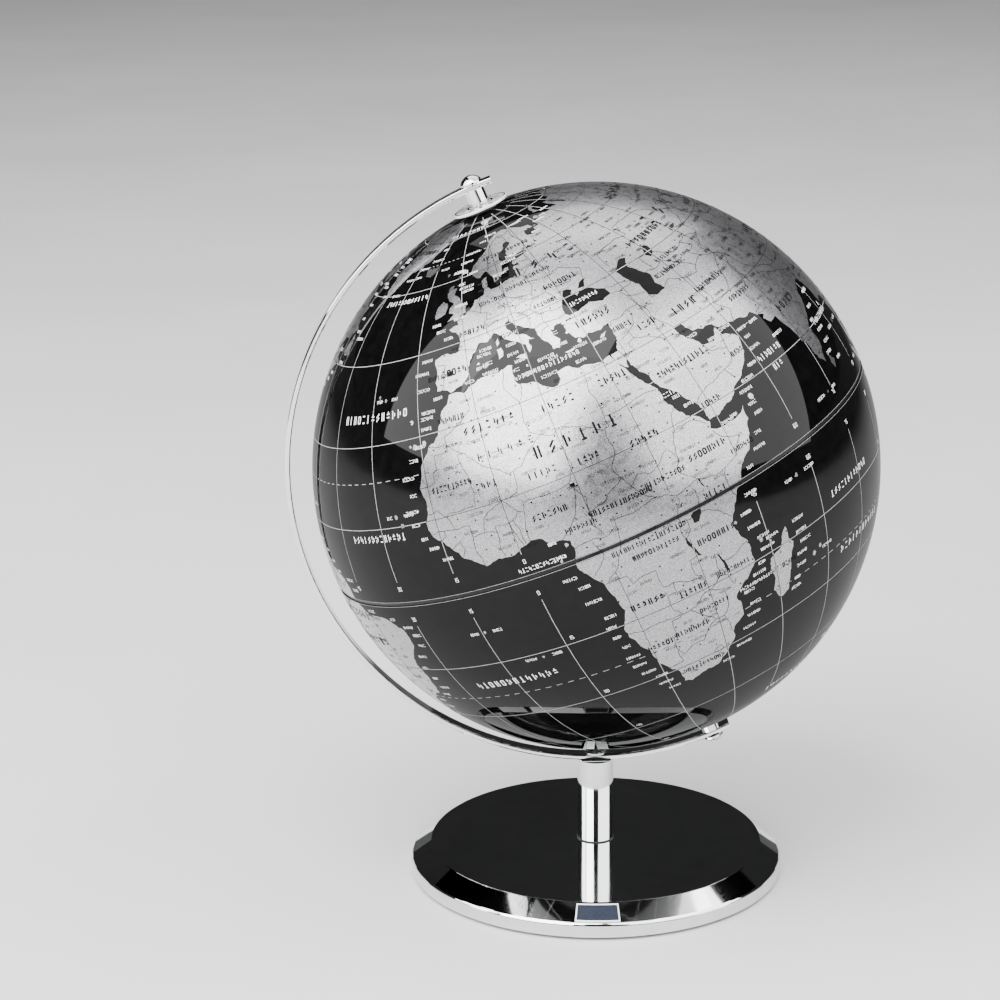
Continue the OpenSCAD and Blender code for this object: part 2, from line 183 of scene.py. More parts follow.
        (109, 1.5), (111.5, 2.6), (116.8, 7), (119, 5.2), (117.8, 1), (116, -4), (111.8, -3.4),
        (110, -1.2)],
    "sulawesi": [(119.5, -5.5), (119, -2.5), (120, 0.8), (125, 1.5), (121, 0.4), (122.5, -4.7)],
    "new_guinea": [
        (131, -0.8), (134.2, -2.5), (138, -1.8), (145, -4.3), (147.8, -6.7), (150.5, -10.5),
        (146, -8.8), (142.5, -9.2), (138, -8.2), (133, -4)],
    "luzon": [(120.5, 18.5), (122.2, 18.3), (121.6, 15), (124, 13), (120.6, 13.8), (120, 16)],
    "mindanao": [(122, 7), (125.5, 9.8), (126.5, 7.3), (125.3, 5.8), (124, 7)],
    "taiwan": [(120.2, 23), (121.6, 25.2), (121, 22.2)],
    "hainan": [(108.7, 19.2), (111, 20), (109.5, 18.2)],
    "honshu": [
        (131, 34.2), (135.5, 35.5), (137, 37.3), (140, 39.5), (141.2, 41.4), (142, 39.5),
        (140.7, 35.7), (137, 34.6), (135.8, 33.5), (132.5, 34)],
    "kyushu": [(130, 33.3), (132, 33.2), (131, 31.2), (130, 31.6)],
    "hokkaido": [(140, 41.6), (141.7, 45.4), (145.3, 43.6), (143.2, 42)],
    "sakhalin": [(142, 46), (143.5, 49.2), (143, 54.3), (142, 53), (142, 49)],
    "tasmania": [(144.8, -40.8), (148.2, -41), (147, -43.5), (145.5, -42.8)],
    "nz_north": [(172.8, -34.5), (175.5, -36.8), (178.4, -37.8), (175.2, -41.5), (174, -39.3)],
    "nz_south": [(172.7, -40.6), (174.2, -41.8), (170.8, -45.9), (166.5, -46), (171, -42.6)],
    "cuba": [(-84.8, 21.9), (-82, 23.1), (-77, 21.8), (-74.3, 20.2), (-77.6, 19.9), (-81, 21.8)],
    "hispaniola": [(-74.4, 18.5), (-73, 19.9), (-68.5, 18.6), (-71.5, 17.8)],
    "newfoundland": [(-59.3, 47.7), (-56, 51.5), (-53, 47), (-56, 47)],
    "baffin": [
        (-89, 71.5), (-80, 73.7), (-68, 70), (-61.5, 66.5), (-66, 62.5), (-73, 64.5), (-77, 68)],
    "victoria_island": [(-117, 70), (-105, 73), (-102, 69), (-114, 69)],
    "banks": [(-125, 72.5), (-118, 75), (-118, 71.5)],
    "ellesmere": [(-90, 77), (-90, 81), (-64, 82.8), (-78, 78.5), (-80, 76.3)],
    "devon": [(-96, 76), (-82, 76), (-82, 74.5), (-95, 74.6)],
}
WATER = {
    "black_sea": [
        (28, 42), (29, 41.3), (31.5, 41.3), (35, 42.1), (38.5, 41), (41.5, 41.6), (41, 43),
        (38.5, 44.3), (36.6, 45.2), (35.5, 45.1), (33.7, 44.4), (32.5, 45.4), (33.4, 46),
        (31.3, 46.7), (30, 45.6), (28.7, 44)],
    "azov": [(35, 45.6), (37, 45.4), (39, 47.1), (36.5, 46.7)],
    "marmara": [(27.2, 40.5), (29, 40.5), (28.8, 41), (27.4, 40.9)],
    "caspian": [
        (47, 45), (51, 46.9), (53, 46.5), (51, 44.6), (53, 42), (54, 41), (53, 39), (54, 37),
        (51, 36.8), (49, 37.6), (49.3, 40.3), (47.5, 43)],
    "aral": [(58.3, 44.5), (60, 46.7), (61.8, 46.2), (61, 44.3), (59.2, 43.7)],
    "chad": [(13.4, 13.4), (14.6, 13.5), (14.4, 12.7), (13.7, 12.8)],
    "victoria": [(31.8, -0.9), (32.5, -0.5), (34, -0.5), (34, -1.3), (33, -2.5), (31.9, -2.4)],
    "tanganyika": [(29.2, -3.4), (29.8, -5.3), (31.1, -8.6), (30.3, -8.2), (29.2, -5.6)],
    "malawi": [(33.9, -9.6), (34.9, -11.8), (35.2, -14.2), (34.4, -13), (34.1, -11)],
    "turkana": [(35.8, 4.6), (36.3, 4.4), (36.6, 2.6), (36.1, 3.2)],
    "albert": [(30.4, 1.2), (31.4, 2.2), (31.1, 1.4)],
    "volta": [(-0.4, 7.9), (0.2, 7.6), (0.1, 6.4)],
    "baikal": [(104, 51.6), (106, 52.3), (109.8, 55.7), (109, 53.6), (106.5, 51.8)],
    "balkhash": [(73.8, 45.2), (74.5, 46.5), (79, 46.5), (75, 45.7)],
    "ladoga": [(30, 60.7), (32.8, 60.3), (31, 61.6)],
    "onega": [(34.5, 61.5), (36, 61.2), (35, 62.5)],
    "superior": [(-92, 46.7), (-88, 48.8), (-84.5, 46.7), (-88, 46.6)],
    "michigan": [(-87.8, 42), (-87.8, 45), (-85, 46), (-86.4, 43)],
    "huron": [(-84, 46), (-80.5, 45.5), (-82, 43.1), (-83.5, 44.5)],
    "erie": [(-83.3, 41.8), (-79, 42.8), (-81.5, 41.6)],
    "winnipeg": [(-99, 53.8), (-97.6, 53.8), (-96.5, 50.7)],
    "slave": [(-117, 61), (-114, 62.4), (-109.5, 62.5), (-113, 61)],
    "bear": [(-124, 65.2), (-121, 66.9), (-118, 66.2), (-121, 65)],
}
# Dots of land too small for an outline: longitude, latitude, radius in degrees.
ISLETS = [
    (-16.5, 28.3, 0.6), (-14, 28.6, 0.5), (-17.9, 28.6, 0.3), (-25.6, 37.8, 0.4), (-28, 38.6, 0.4),
    (-17, 32.8, 0.4), (-23.6, 15.1, 0.4), (-24.8, 16.8, 0.4), (8.7, 3.5, 0.4), (6.6, 0.9, 0.3),
    (53.9, 12.5, 0.6), (43.3, -11.7, 0.4), (45.2, -12.8, 0.3), (55.5, -4.7, 0.4), (55.5, -21, 0.5),
    (57.5, -20.3, 0.4), (39.4, -6.1, 0.3), (27.9, 36.2, 0.4), (26.2, 38.6, 0.3), (14.4, 35.9, 0.2),
    (-7, 62, 0.4), (-1.2, 60.3, 0.4), (18.5, 57.5, 0.6), (22.7, 58.4, 0.6), (48.5, 69.2, 0.7),
    (73.3, 4, 0.3), (92.8, 12, 0.5), (-5.7, -16, 0.3), (-14.4, -8, 0.3), (-60, -51.7, 1.4),
    (69.5, -49.3, 0.8), (165.5, -21.3, 1.1), (178, -17.8, 0.8), (-155.5, 19.6, 0.7), (-66.4, 18.2, 0.7)]
# Lines between countries, drawn over the land.
BORDERS = [
    [(-2, 35), (-1.5, 32), (-5, 30), (-8.7, 28.7), (-8.7, 26), (-12, 26), (-12, 23.4), (-13, 23),
     (-13.1, 21.3), (-17, 21)],
    [(-13, 27.7), (-8.7, 27.6)],
    [(-8.7, 27.3), (-4.8, 25), (3.2, 19), (4.2, 19.2), (6, 19.5), (12, 23.5), (10, 24.5), (9.5, 26.5),
     (9.9, 30.2), (8.3, 32.5), (7.5, 34), (8.6, 36.9)],
    [(9.9, 30.2), (11.5, 32.5), (11.5, 33.2)],
    [(25, 31.6), (25, 22), (36.9, 22)],
    [(12, 23.5), (14.2, 22.6), (16, 23.4), (24, 19.5), (24, 20), (25, 20), (25, 22)],
    [(24, 19.5), (24, 15.7), (22, 13), (22.9, 10.9), (24, 8.7), (27.4, 5), (30.9, 3.6), (31, 2.3),
     (29.7, 0.6), (29.6, -1.4), (29, -2.7), (29.4, -4.4)],
    [(16, 23.4), (15.2, 20), (15.5, 16.8), (13.5, 13.7), (14.2, 12.4), (15.5, 10), (15.2, 7.4),
     (18.5, 8.2), (22.9, 10.9)],
    [(4.2, 19.2), (4, 16.5), (3.5, 15.4), (0.2, 14.9), (2.4, 12.2), (0.9, 11), (-2.8, 11), (-2.8, 9.7),
     (-3, 5.1)],
    [(-4.8, 25), (-6.5, 25), (-5.4, 15.5), (-11.5, 15.5), (-12.2, 14.8), (-11.4, 12.4), (-8, 12.4),
     (-8, 10.2), (-8.4, 7.6), (-7.6, 4.4)],
    [(-16.4, 16.1), (-14, 16.5), (-12.2, 14.8)],
    [(2.4, 12.2), (3.6, 11.7), (4, 13.5), (8, 13.2), (13.5, 13.7)],
    [(3.6, 11.7), (2.7, 9), (2.7, 6.4)],
    [(0.9, 11), (1.6, 9), (1.7, 6.2)],
    [(0, 11), (0.5, 8.5), (1.2, 6.1)],
    [(0.2, 14.9), (-2, 14.2), (-4.5, 13), (-5.5, 10.4), (-8, 10.2)],
    [(-5.5, 10.4), (-2.8, 9.7)],
    [(8.6, 4.8), (11, 6.6), (13.2, 9.6), (14.2, 12.4)],
    [(15.2, 7.4), (14.6, 5), (16.1, 2.2), (9.8, 2.3)],
    [(16.1, 2.2), (18.6, 3.5), (17.8, -0.5), (16, -3.5), (15.3, -4.3), (13, -5.8)],
    [(18.6, 3.5), (18.6, 4.3), (22.5, 4.2), (27.4, 5)],
    [(13.3, 2.2), (14.4, -0.5), (13, -2.4), (11.1, -3.9)],
    [(12.4, -6), (16.5, -6), (17, -8), (19.5, -7.2), (21.8, -7.3), (22, -11), (24, -10.9), (26, -11.8),
     (29, -12.4), (29.8, -13.4), (29.6, -12.2), (28.4, -11.5), (28.6, -8.5), (30.8, -8.3)],
    [(24, -10.9), (24, -13), (22, -13), (22, -16.2), (23.4, -17.6), (21.4, -17.9), (18.5, -17.4),
     (11.8, -17.3)],
    [(21, -18.3), (21, -22), (20, -22), (20, -28.4), (17.4, -28.8), (16.5, -28.6)],
    [(23.4, -17.9), (21, -18.3)],
    [(25.2, -17.8), (27.7, -20.5), (29.4, -22.2), (27, -23.7), (25.6, -25.7), (22.9, -25.5),
     (20.7, -26.9), (20, -24.8)],
    [(23.4, -17.9), (25.2, -17.8), (28.9, -15.7), (30.4, -15.6), (33, -14), (33.3, -9.5)],
    [(30.4, -15.8), (32.9, -16.7), (32.6, -21), (31.3, -22.4), (29.4, -22.2)],
    [(31.3, -22.4), (32, -24.4), (32, -26.8), (32.9, -26.8)],
    [(27, -29.6), (28.7, -28.7), (29.3, -29.8), (28, -30.6), (27, -29.6)],
    [(33, -14), (34.5, -14.5), (35.3, -17), (35.8, -16)],
    [(34.6, -11.5), (37.5, -11.6), (40.4, -10.4)],
    [(34, -1), (37.6, -3), (39.2, -4.7)],
    [(29.6, -1.4), (34, -1), (34.5, 1.2), (34, 4.2), (30.9, 3.6)],
    [(29.6, -1.4), (30.8, -1), (30.8, -3.3), (29.4, -4.4)],
    [(34, 4.2), (35.9, 4.6), (39.5, 3.5), (41.9, 3.9), (41, 2.8), (41, -0.9), (41.6, -1.7)],
    [(41.9, 3.9), (45, 5), (48, 8), (44, 9), (42.8, 10.9)],
    [(35.9, 4.6), (33, 7.9), (34.1, 9), (34.3, 10.6), (36.1, 14.3), (37, 17), (38.5, 18)],
    [(36.4, 14.4), (40, 14.4), (42.4, 12.5)],
    [(24, 8.8), (26, 10.3), (28, 9.4), (30, 10), (33, 12), (34.1, 9.5)],
    [(-13.3, 9), (-11, 10), (-10.5, 8.5), (-11.5, 7)],
    [(-16.7, 12.4), (-13.7, 12.6), (-11.4, 12.4)],
    [(-13.7, 12.6), (-13.7, 11.5), (-15, 11)],
    [(34.2, 31.3), (34.9, 29.5)],
    [(35.5, 32.7), (35.5, 31), (35, 29.4), (37.5, 30.3), (37, 31.5), (39, 32), (38.8, 33.4),
     (35.8, 32.7)],
    [(38.8, 33.4), (41.2, 34.5), (42.3, 37.2), (36.7, 36.7), (36, 35.9)],
    [(39, 32), (42, 31.1), (44.7, 29.2), (46.5, 29.1), (48.4, 28.5)],
    [(42.3, 37.2), (44.8, 37.2), (46, 35.5), (45.5, 33.9), (47.7, 31), (48.5, 30)],
    [(44.8, 37.2), (44.4, 39.6), (43.5, 41.1), (41.5, 41.5)],
    [(44.4, 39.6), (48.8, 38.4)],
    [(40, 43.4), (44.5, 42.6), (48.5, 41.8)],
    [(43.5, 41.1), (46.5, 41.2), (48.5, 41.8)],
    [(42.8, 16.4), (44, 17.4), (48.2, 18.2), (52, 19), (55, 20), (55.6, 22), (52, 23), (51.2, 24.5)],
    [(52, 19), (53.1, 16.7)],
    [(55.6, 22), (56.4, 24.7)],
    [(54, 37.4), (57, 38.2), (61.1, 36.5), (60.8, 34), (61.8, 31.2), (60.9, 29.8), (63.2, 27.2),
     (61.6, 25.2)],
    [(60.9, 29.8), (66.3, 29.9), (69.5, 31.8), (71.2, 34.5), (74.9, 37.2), (71, 38.4), (66.5, 37.4),
     (64.5, 36.2), (61.1, 36.5)],
    [(68.2, 23.8), (71, 24.5), (70, 27.8), (73.9, 30), (74.5, 33), (77.8, 35.5), (74.9, 37.2),
     (73.8, 39.8), (80.2, 42.2)],
    [(77.8, 35.5), (79, 31.5), (81, 30.2), (88, 27.9), (92, 27.6), (97.4, 28.3), (98.5, 24),
     (101.7, 21.2), (108, 21.6)],
    [(81, 30.2), (80, 28.8), (88.1, 26.5), (88, 27.9)],
    [(88.8, 21.8), (88.7, 26.3), (92, 25), (92.3, 21), (94, 24), (97.4, 28.3)],
    [(98.5, 24), (98, 19), (99, 12), (99.3, 10.5)],
    [(101.7, 21.2), (101, 17.5), (105, 16), (105.5, 14.3), (102.8, 12)],
    [(105, 16), (107.5, 15), (106.5, 11), (105, 10.5)],
    [(47, 46.5), (47, 48), (47.5, 50.3), (54.5, 51), (61.5, 50.8), (61, 53.8), (71, 54.2), (77, 53.9),
     (83, 51), (87.3, 49.1), (80.3, 45), (80.2, 42.2), (74, 43.2), (70.8, 42.8), (66, 42), (61, 44.4),
     (56, 45), (56, 41.3), (52.5, 41.7)],
    [(56, 41.3), (60, 42), (66.5, 37.4)],
    [(70.8, 42.8), (73, 40.8), (69, 40.2), (71, 38.4)],
    [(87.8, 49.1), (91, 45.2), (96.4, 42.7), (105, 41.6), (111.9, 43.7), (119.8, 46.7), (115.8, 47.8),
     (116.7, 49.8), (108, 49.4), (98, 52), (87.8, 49.1)],
    [(116.7, 49.8), (125.5, 53), (130.9, 48.8), (134.8, 48.4), (131, 42.8)],
    [(124.5, 40), (128, 41.8), (130.6, 42.4)],
    [(126.6, 37.8), (128.4, 38.6)],
    [(-1.8, 43.4), (3.1, 42.5)],
    [(-8.9, 41.9), (-6.4, 41.6), (-7, 39), (-7.4, 37.2)],
    [(7.5, 43.8), (7, 45.9), (6, 46.3), (7.6, 47.6), (8.2, 49), (6.2, 49.5), (2.5, 51)],
    [(6.2, 49.5), (6, 51.8), (7, 53.3)],
    [(8.6, 54.9), (9.8, 54.8)],
    [(7, 45.9), (10.4, 46.6), (13.7, 46.5), (13.6, 45.6)],
    [(7.6, 47.6), (13, 47.6), (13.8, 48.8), (12.2, 50.3), (15, 51), (14.3, 53.9)],
    [(15, 51), (18.8, 49.5), (22.6, 49.1), (24, 50.5), (23.7, 52), (23, 54.2), (19.8, 54.4)],
    [(13.8, 48.8), (17, 48), (16.1, 46.8), (13.7, 46.5)],
    [(17, 48), (20.3, 48.3), (22.8, 48), (20.3, 46.1), (16.1, 46.6)],
    [(22.6, 49.1), (22.8, 48), (26.6, 48.2), (28.2, 45.5), (29.7, 45.3)],
    [(20.3, 46.1), (22.6, 44.2), (28.6, 43.8)],
    [(22.6, 44.2), (22.4, 42.3), (26.3, 41.8), (28, 42)],
    [(22.4, 42.3), (20.5, 42.2), (19.4, 41.9)],
    [(22.4, 42.3), (23, 41.3), (20.8, 40.9), (20, 39.7)],
    [(16.6, 46.3), (19, 45), (18.5, 42.5)],
    [(23.7, 52), (30.6, 51.3), (34.2, 52), (39.8, 49.6), (38.2, 47.2)],
    [(30.6, 51.3), (31.5, 53.3), (28.2, 56), (27.5, 59.4)],
    [(21, 56.2), (28.2, 56)],
    [(24.4, 57.9), (27.4, 57.5)],
    [(23, 54.2), (26.5, 55.6), (28.2, 56)],
    [(27.8, 60.5), (31.5, 62.9), (29, 66), (28.5, 69.5)],
    [(11.3, 59.1), (12.3, 62.5), (14.5, 66), (20.5, 69), (25, 68.6), (28.5, 69.8)],
    [(24, 65.8), (23.5, 68), (20.5, 69)],
    [(-123, 49), (-95, 49), (-89.5, 48), (-82.5, 45.3), (-79, 43), (-75, 45), (-71.3, 45.2), (-67.3, 47),
     (-67, 45)],
    [(-117.1, 32.5), (-111, 31.3), (-106.5, 31.8), (-103, 29), (-99.5, 27.5), (-97.3, 26)],
    [(-141, 69.7), (-141, 60.3), (-130, 55.5)],
    [(-51.6, 4.1), (-54, 2.3), (-60, 5), (-60.7, 2), (-64, 4), (-67, 1.2), (-70, 1.7), (-70, -4.3),
     (-73.5, -7.5), (-70.5, -11), (-65.3, -10), (-60.2, -16.3), (-57.8, -18), (-58, -22), (-54.5, -24),
     (-53.7, -27), (-57.6, -30.2), (-53.4, -33.7)],
    [(-70.5, -11), (-69, -16), (-67, -22.8), (-69, -27), (-70, -33), (-71.5, -40), (-72, -46),
     (-72, -52)],
    [(-67, -22.8), (-62.3, -22), (-58, -22)],
    [(-70, -4.3), (-75, -0.5), (-78.8, 1.4)],
    [(-67, 1.2), (-67.5, 6), (-72.2, 7.5), (-71.5, 12)],
    [(129, -14.9), (129, -31.7)],
    [(138, -16.5), (138, -26), (129, -26)],
    [(141, -38), (141, -26), (138, -26)],
    [(141, -29), (149, -29), (153.3, -28.2)],
    [(141, -34), (147.5, -36), (150, -37.4)]]
# Where names are printed: longitude, latitude, letters, height in mm, spacing.
# Each letter is drawn as a random mark, so the names spell nothing.
NAMES_LAND = [
    (2, 28.5, 7, 2.1, 2.1), (17.5, 27.5, 5, 2.1, 1.7), (30, 27.5, 5, 2, 1.3), (-6.5, 31.5, 7, 1.6, 1),
    (-9.5, 20, 10, 1.7, 1), (-2, 18.5, 4, 1.8, 1.6), (9.5, 17.2, 5, 1.8, 1.7), (18.8, 16.5, 4, 2, 1.2),
    (30, 15.5, 5, 2, 1.4), (40, 8.4, 8, 1.9, 1.1), (8, 10, 7, 1.8, 1.2), (12.5, 5.8, 8, 1.5, 1),
    (21, 7, 15, 1.6, 1), (30, 7.6, 11, 1.6, 1), (38, 1, 5, 1.8, 1.2), (35, -6.2, 8, 1.8, 1.2),
    (23, -1.5, 19, 1.5, 1), (23.5, -3.6, 12, 1.5, 1), (18, -12.5, 6, 1.9, 1.4), (27, -14, 6, 1.8, 1.1),
    (17.5, -22.3, 7, 1.7, 1), (24.2, -21.8, 8, 1.7, 1), (24, -31.4, 11, 1.5, 1), (30, -19, 8, 1.5, 1),
    (-4, 39.8, 5, 2, 1.2), (-8, 39.6, 8, 1.4, 0.9), (2.5, 46.5, 6, 1.7, 1.1), (12.5, 43, 5, 1.5, 1),
    (33.5, 39, 6, 2.1, 1.4), (38.2, 35, 5, 1.6, 1), (43.5, 33.2, 4, 1.9, 1.2), (54, 32.5, 4, 2.2, 2),
    (45, 24, 12, 1.9, 1), (45.5, 15.6, 5, 1.7, 1), (57, 20.5, 4, 1.6, 1), (46.8, 5.8, 7, 1.5, 1),
    (32, 49, 7, 1.8, 1.2), (27.8, 53.3, 7, 1.5, 1), (19.5, 52.4, 6, 1.5, 1), (10.5, 51.4, 7, 1.5, 1),
    (25, 46, 7, 1.4, 1), (66.5, 48.5, 10, 2, 1.4), (65, 33.6, 11, 1.6, 1), (69, 28.6, 8, 1.7, 1),
    (79, 21.8, 5, 2.3, 1.8), (103, 34.5, 5, 2.6, 2.4), (96, 60.5, 6, 2.8, 2.6), (103, 46.5, 8, 1.8, 1),
    (60, 39.8, 12, 1.4, 1), (63.5, 42.4, 10, 1.4, 1), (15.5, 63, 6, 1.6, 1), (26.5, 63, 7, 1.6, 1),
    (-52, -9, 6, 2.8, 2.6), (-65, -36, 9, 2, 1.2), (-75.5, -9, 4, 1.7, 1.2), (-64.5, -17, 7, 1.6, 1),
    (-98, 39, 13, 2.2, 1.4), (-103, 57, 6, 2.6, 2.2), (-102.5, 23.8, 6, 1.8, 1.2),
    (134, -24.5, 9, 2.8, 2.4), (46.5, -19, 10, 1.4, 0.9), (-42, 72, 9, 2, 1.4), (36, -13.8, 10, 1.4, 1)]
NAMES_BIG = [
    (18, 20.8, 6, 3.9, 2.6), (4, 23.4, 6, 2.4, 3.2), (25, 55.5, 6, 3.8, 4.2), (88, 50.5, 4, 5, 5),
    (-58, -3, 12, 3.2, 1.6), (-100, 47, 12, 3.2, 1.6), (20, -83, 10, 2.4, 1.3)]
NAMES_SEA = [
    (-32, 13.2, 13, 2.3, 1.5), (71, -12.5, 12, 2.3, 1.5), (18.5, 34.4, 17, 1.5, 1.3), (64, 17, 7, 2, 1.3),
    (64, 14.2, 3, 2, 1.3), (34.5, 43.2, 9, 1.5, 1), (88, 15, 12, 1.7, 1.2), (3, 1.6, 14, 1.5, 1),
    (38.4, 20.4, 7, 1.4, 1), (41, -19, 18, 1.2, 0.9), (-30, 35, 13, 2.6, 1.6), (-15, -20, 13, 2.6, 1.6),
    (75, -25, 12, 2.6, 1.8), (-150, 10, 12, 3, 2), (-130, -25, 12, 3, 2), (160, 30, 12, 3, 2),
    (0, 76, 9, 2, 1.3), (-28, 58, 13, 2, 1.2), (60, -55, 14, 2.4, 1.6), (115, 14, 14, 1.5, 1)]

# ---------------------------------------------------------------- map geometry
rng = random.Random(20)
# How far a stretch's middle may move sideways, over the stretch's length.
COAST_ROUGH, LAKE_ROUGH, BORDER_ROUGH = 0.13, 0.1, 0.09
LEAST_PIECE = 0.45                              # half the shortest stretch that bends, in degrees
# The print is stretched in middle latitudes: degrees added, by the sine of two
# and of four times the latitude.
NORTH_TWO, NORTH_FOUR, SOUTH_TWO = 2.27, -0.92, 1.39


def roughen(points, closed, depth):
    """The outline with small random bends between its points."""
    out = []
    ends = points[1:] + (points[:1] if closed else [])
    for a, b in zip(points, ends):
        if abs(b[0] - a[0]) > 180:                  # a ring round the pole closes here
            b = (b[0] + math.copysign(360, a[0] - b[0]), b[1])
        out.append(a)
        out.extend(bend(a, b, depth))
    if not closed:
        out.append(points[-1])
    return out


def bend(a, b, depth):
    """Points between a and b, moved off the straight line by halves."""
    squeeze = max(0.2, math.cos(math.radians((a[1] + b[1]) / 2)))
    dx, dy = (b[0] - a[0]) * squeeze, b[1] - a[1]
    if math.hypot(dx, dy) < 2 * LEAST_PIECE:
        return []
    off = rng.uniform(-depth, depth)
    mid = ((a[0] + b[0]) / 2 - dy * off / squeeze, (a[1] + b[1]) / 2 + dx * off)
    return bend(a, mid, depth) + [mid] + bend(mid, b, depth)


def islet(lon, lat, r, corners=9):
    """A small rough ring of land."""
    ring = []
    for i in range(corners):
        t = 2 * math.pi * i / corners
        s = r * rng.uniform(0.7, 1.2)
        ring.append((lon + s * math.cos(t) / math.cos(math.radians(lat)), lat + s * math.sin(t)))
    return ring


def plane(lon, lat, half):
    """Map point on the flat disc of one half: the pole is the middle, one unit a degree."""
    r = 90.0 - half * lat
    return r * math.cos(math.radians(lon)), r * math.sin(math.radians(lon))


def printed(lat):
    """Latitude on the ball of a printed latitude."""
    two, four = math.sin(math.radians(2 * lat)), math.sin(math.radians(4 * lat))
    return lat + NORTH_TWO * two + NORTH_FOUR * four if lat > 0 else lat + SOUTH_TWO * two


def outward(lon, lat):
    """Unit vector from the ball's centre to a map point."""
    lo, la = math.radians(lon + PRIME), math.radians(printed(lat))
    flat = math.cos(la)
    return SIDE * (flat * math.cos(lo)) + FRONT * (flat * math.sin(lo)) + POLE * math.sin(la)


def inside(points, ring):
    """Which of the points (an array) lie in the ring, by counting crossings."""
    x, y = points[:, 0], points[:, 1]
    hit = np.zeros(len(points), bool)
    for (x0, y0), (x1, y1) in zip(ring, ring[1:] + ring[:1]):
        if y0 != y1:
            crossing = (y0 > y) != (y1 > y)
            hit ^= crossing & (x < (x1 - x0) * (y - y0) / (y1 - y0) + x0)
    return hit


land_rings = [roughen(ring, True, COAST_ROUGH) for ring in LAND.values()]
land_rings += [islet(*dot) for dot in ISLETS]
water_rings = [roughen(ring, True, LAKE_ROUGH) for ring in WATER.values()]


def on_land(places):
    """Which of the (longitude, latitude) places are printed as land."""
    found = np.zeros(len(places), bool)
    lat = np.array([p[1] for p in places])
    for half in (1, -1):
        mine = np.nonzero(lat >= 0 if half > 0 else lat < 0)[0]
        if not len(mine):
            continue
        spots = np.array([plane(*places[i], half) for i in mine])
        wet = np.zeros(len(mine), bool)
        dry = np.zeros(len(mine), bool)
        for rings, flags in ((land_rings, dry), (water_rings, wet)):
            for ring in rings:
                if max(half * p[1] for p in ring) < 0:
                    continue
                flat = [plane(*p, half) for p in ring]
                lo, hi = np.min(flat, 0), np.max(flat, 0)
                near = np.nonzero(((spots > lo) & (spots < hi)).all(1))[0]
                if len(near):
                    flags[near] |= inside(spots[near], flat)
        found[mine] = dry & ~wet
    return found


# ---------------------------------------------------------------- mesh helpers
def mesh_object(name, verts, faces, normals=None, materials=(), indices=None):
    """A smooth mesh object, with vertex normals and a material per face if given."""
    mesh = bpy.data.meshes.new(name)
    mesh.from_pydata([tuple(v) for v in verts], [], faces)
    for m in materials:
        mesh.materials.append(m)
    if indices is not None:
        mesh.polygons.foreach_set("material_index", indices)
    mesh.polygons.foreach_set("use_smooth", [True] * len(mesh.polygons))
    mesh.update()
    if normals is not None:
        mesh.normals_split_custom_set_from_vertices([tuple(n) for n in normals])
    obj = bpy.data.objects.new(name, mesh)
    bpy.context.scene.collection.objects.link(obj)
    return obj


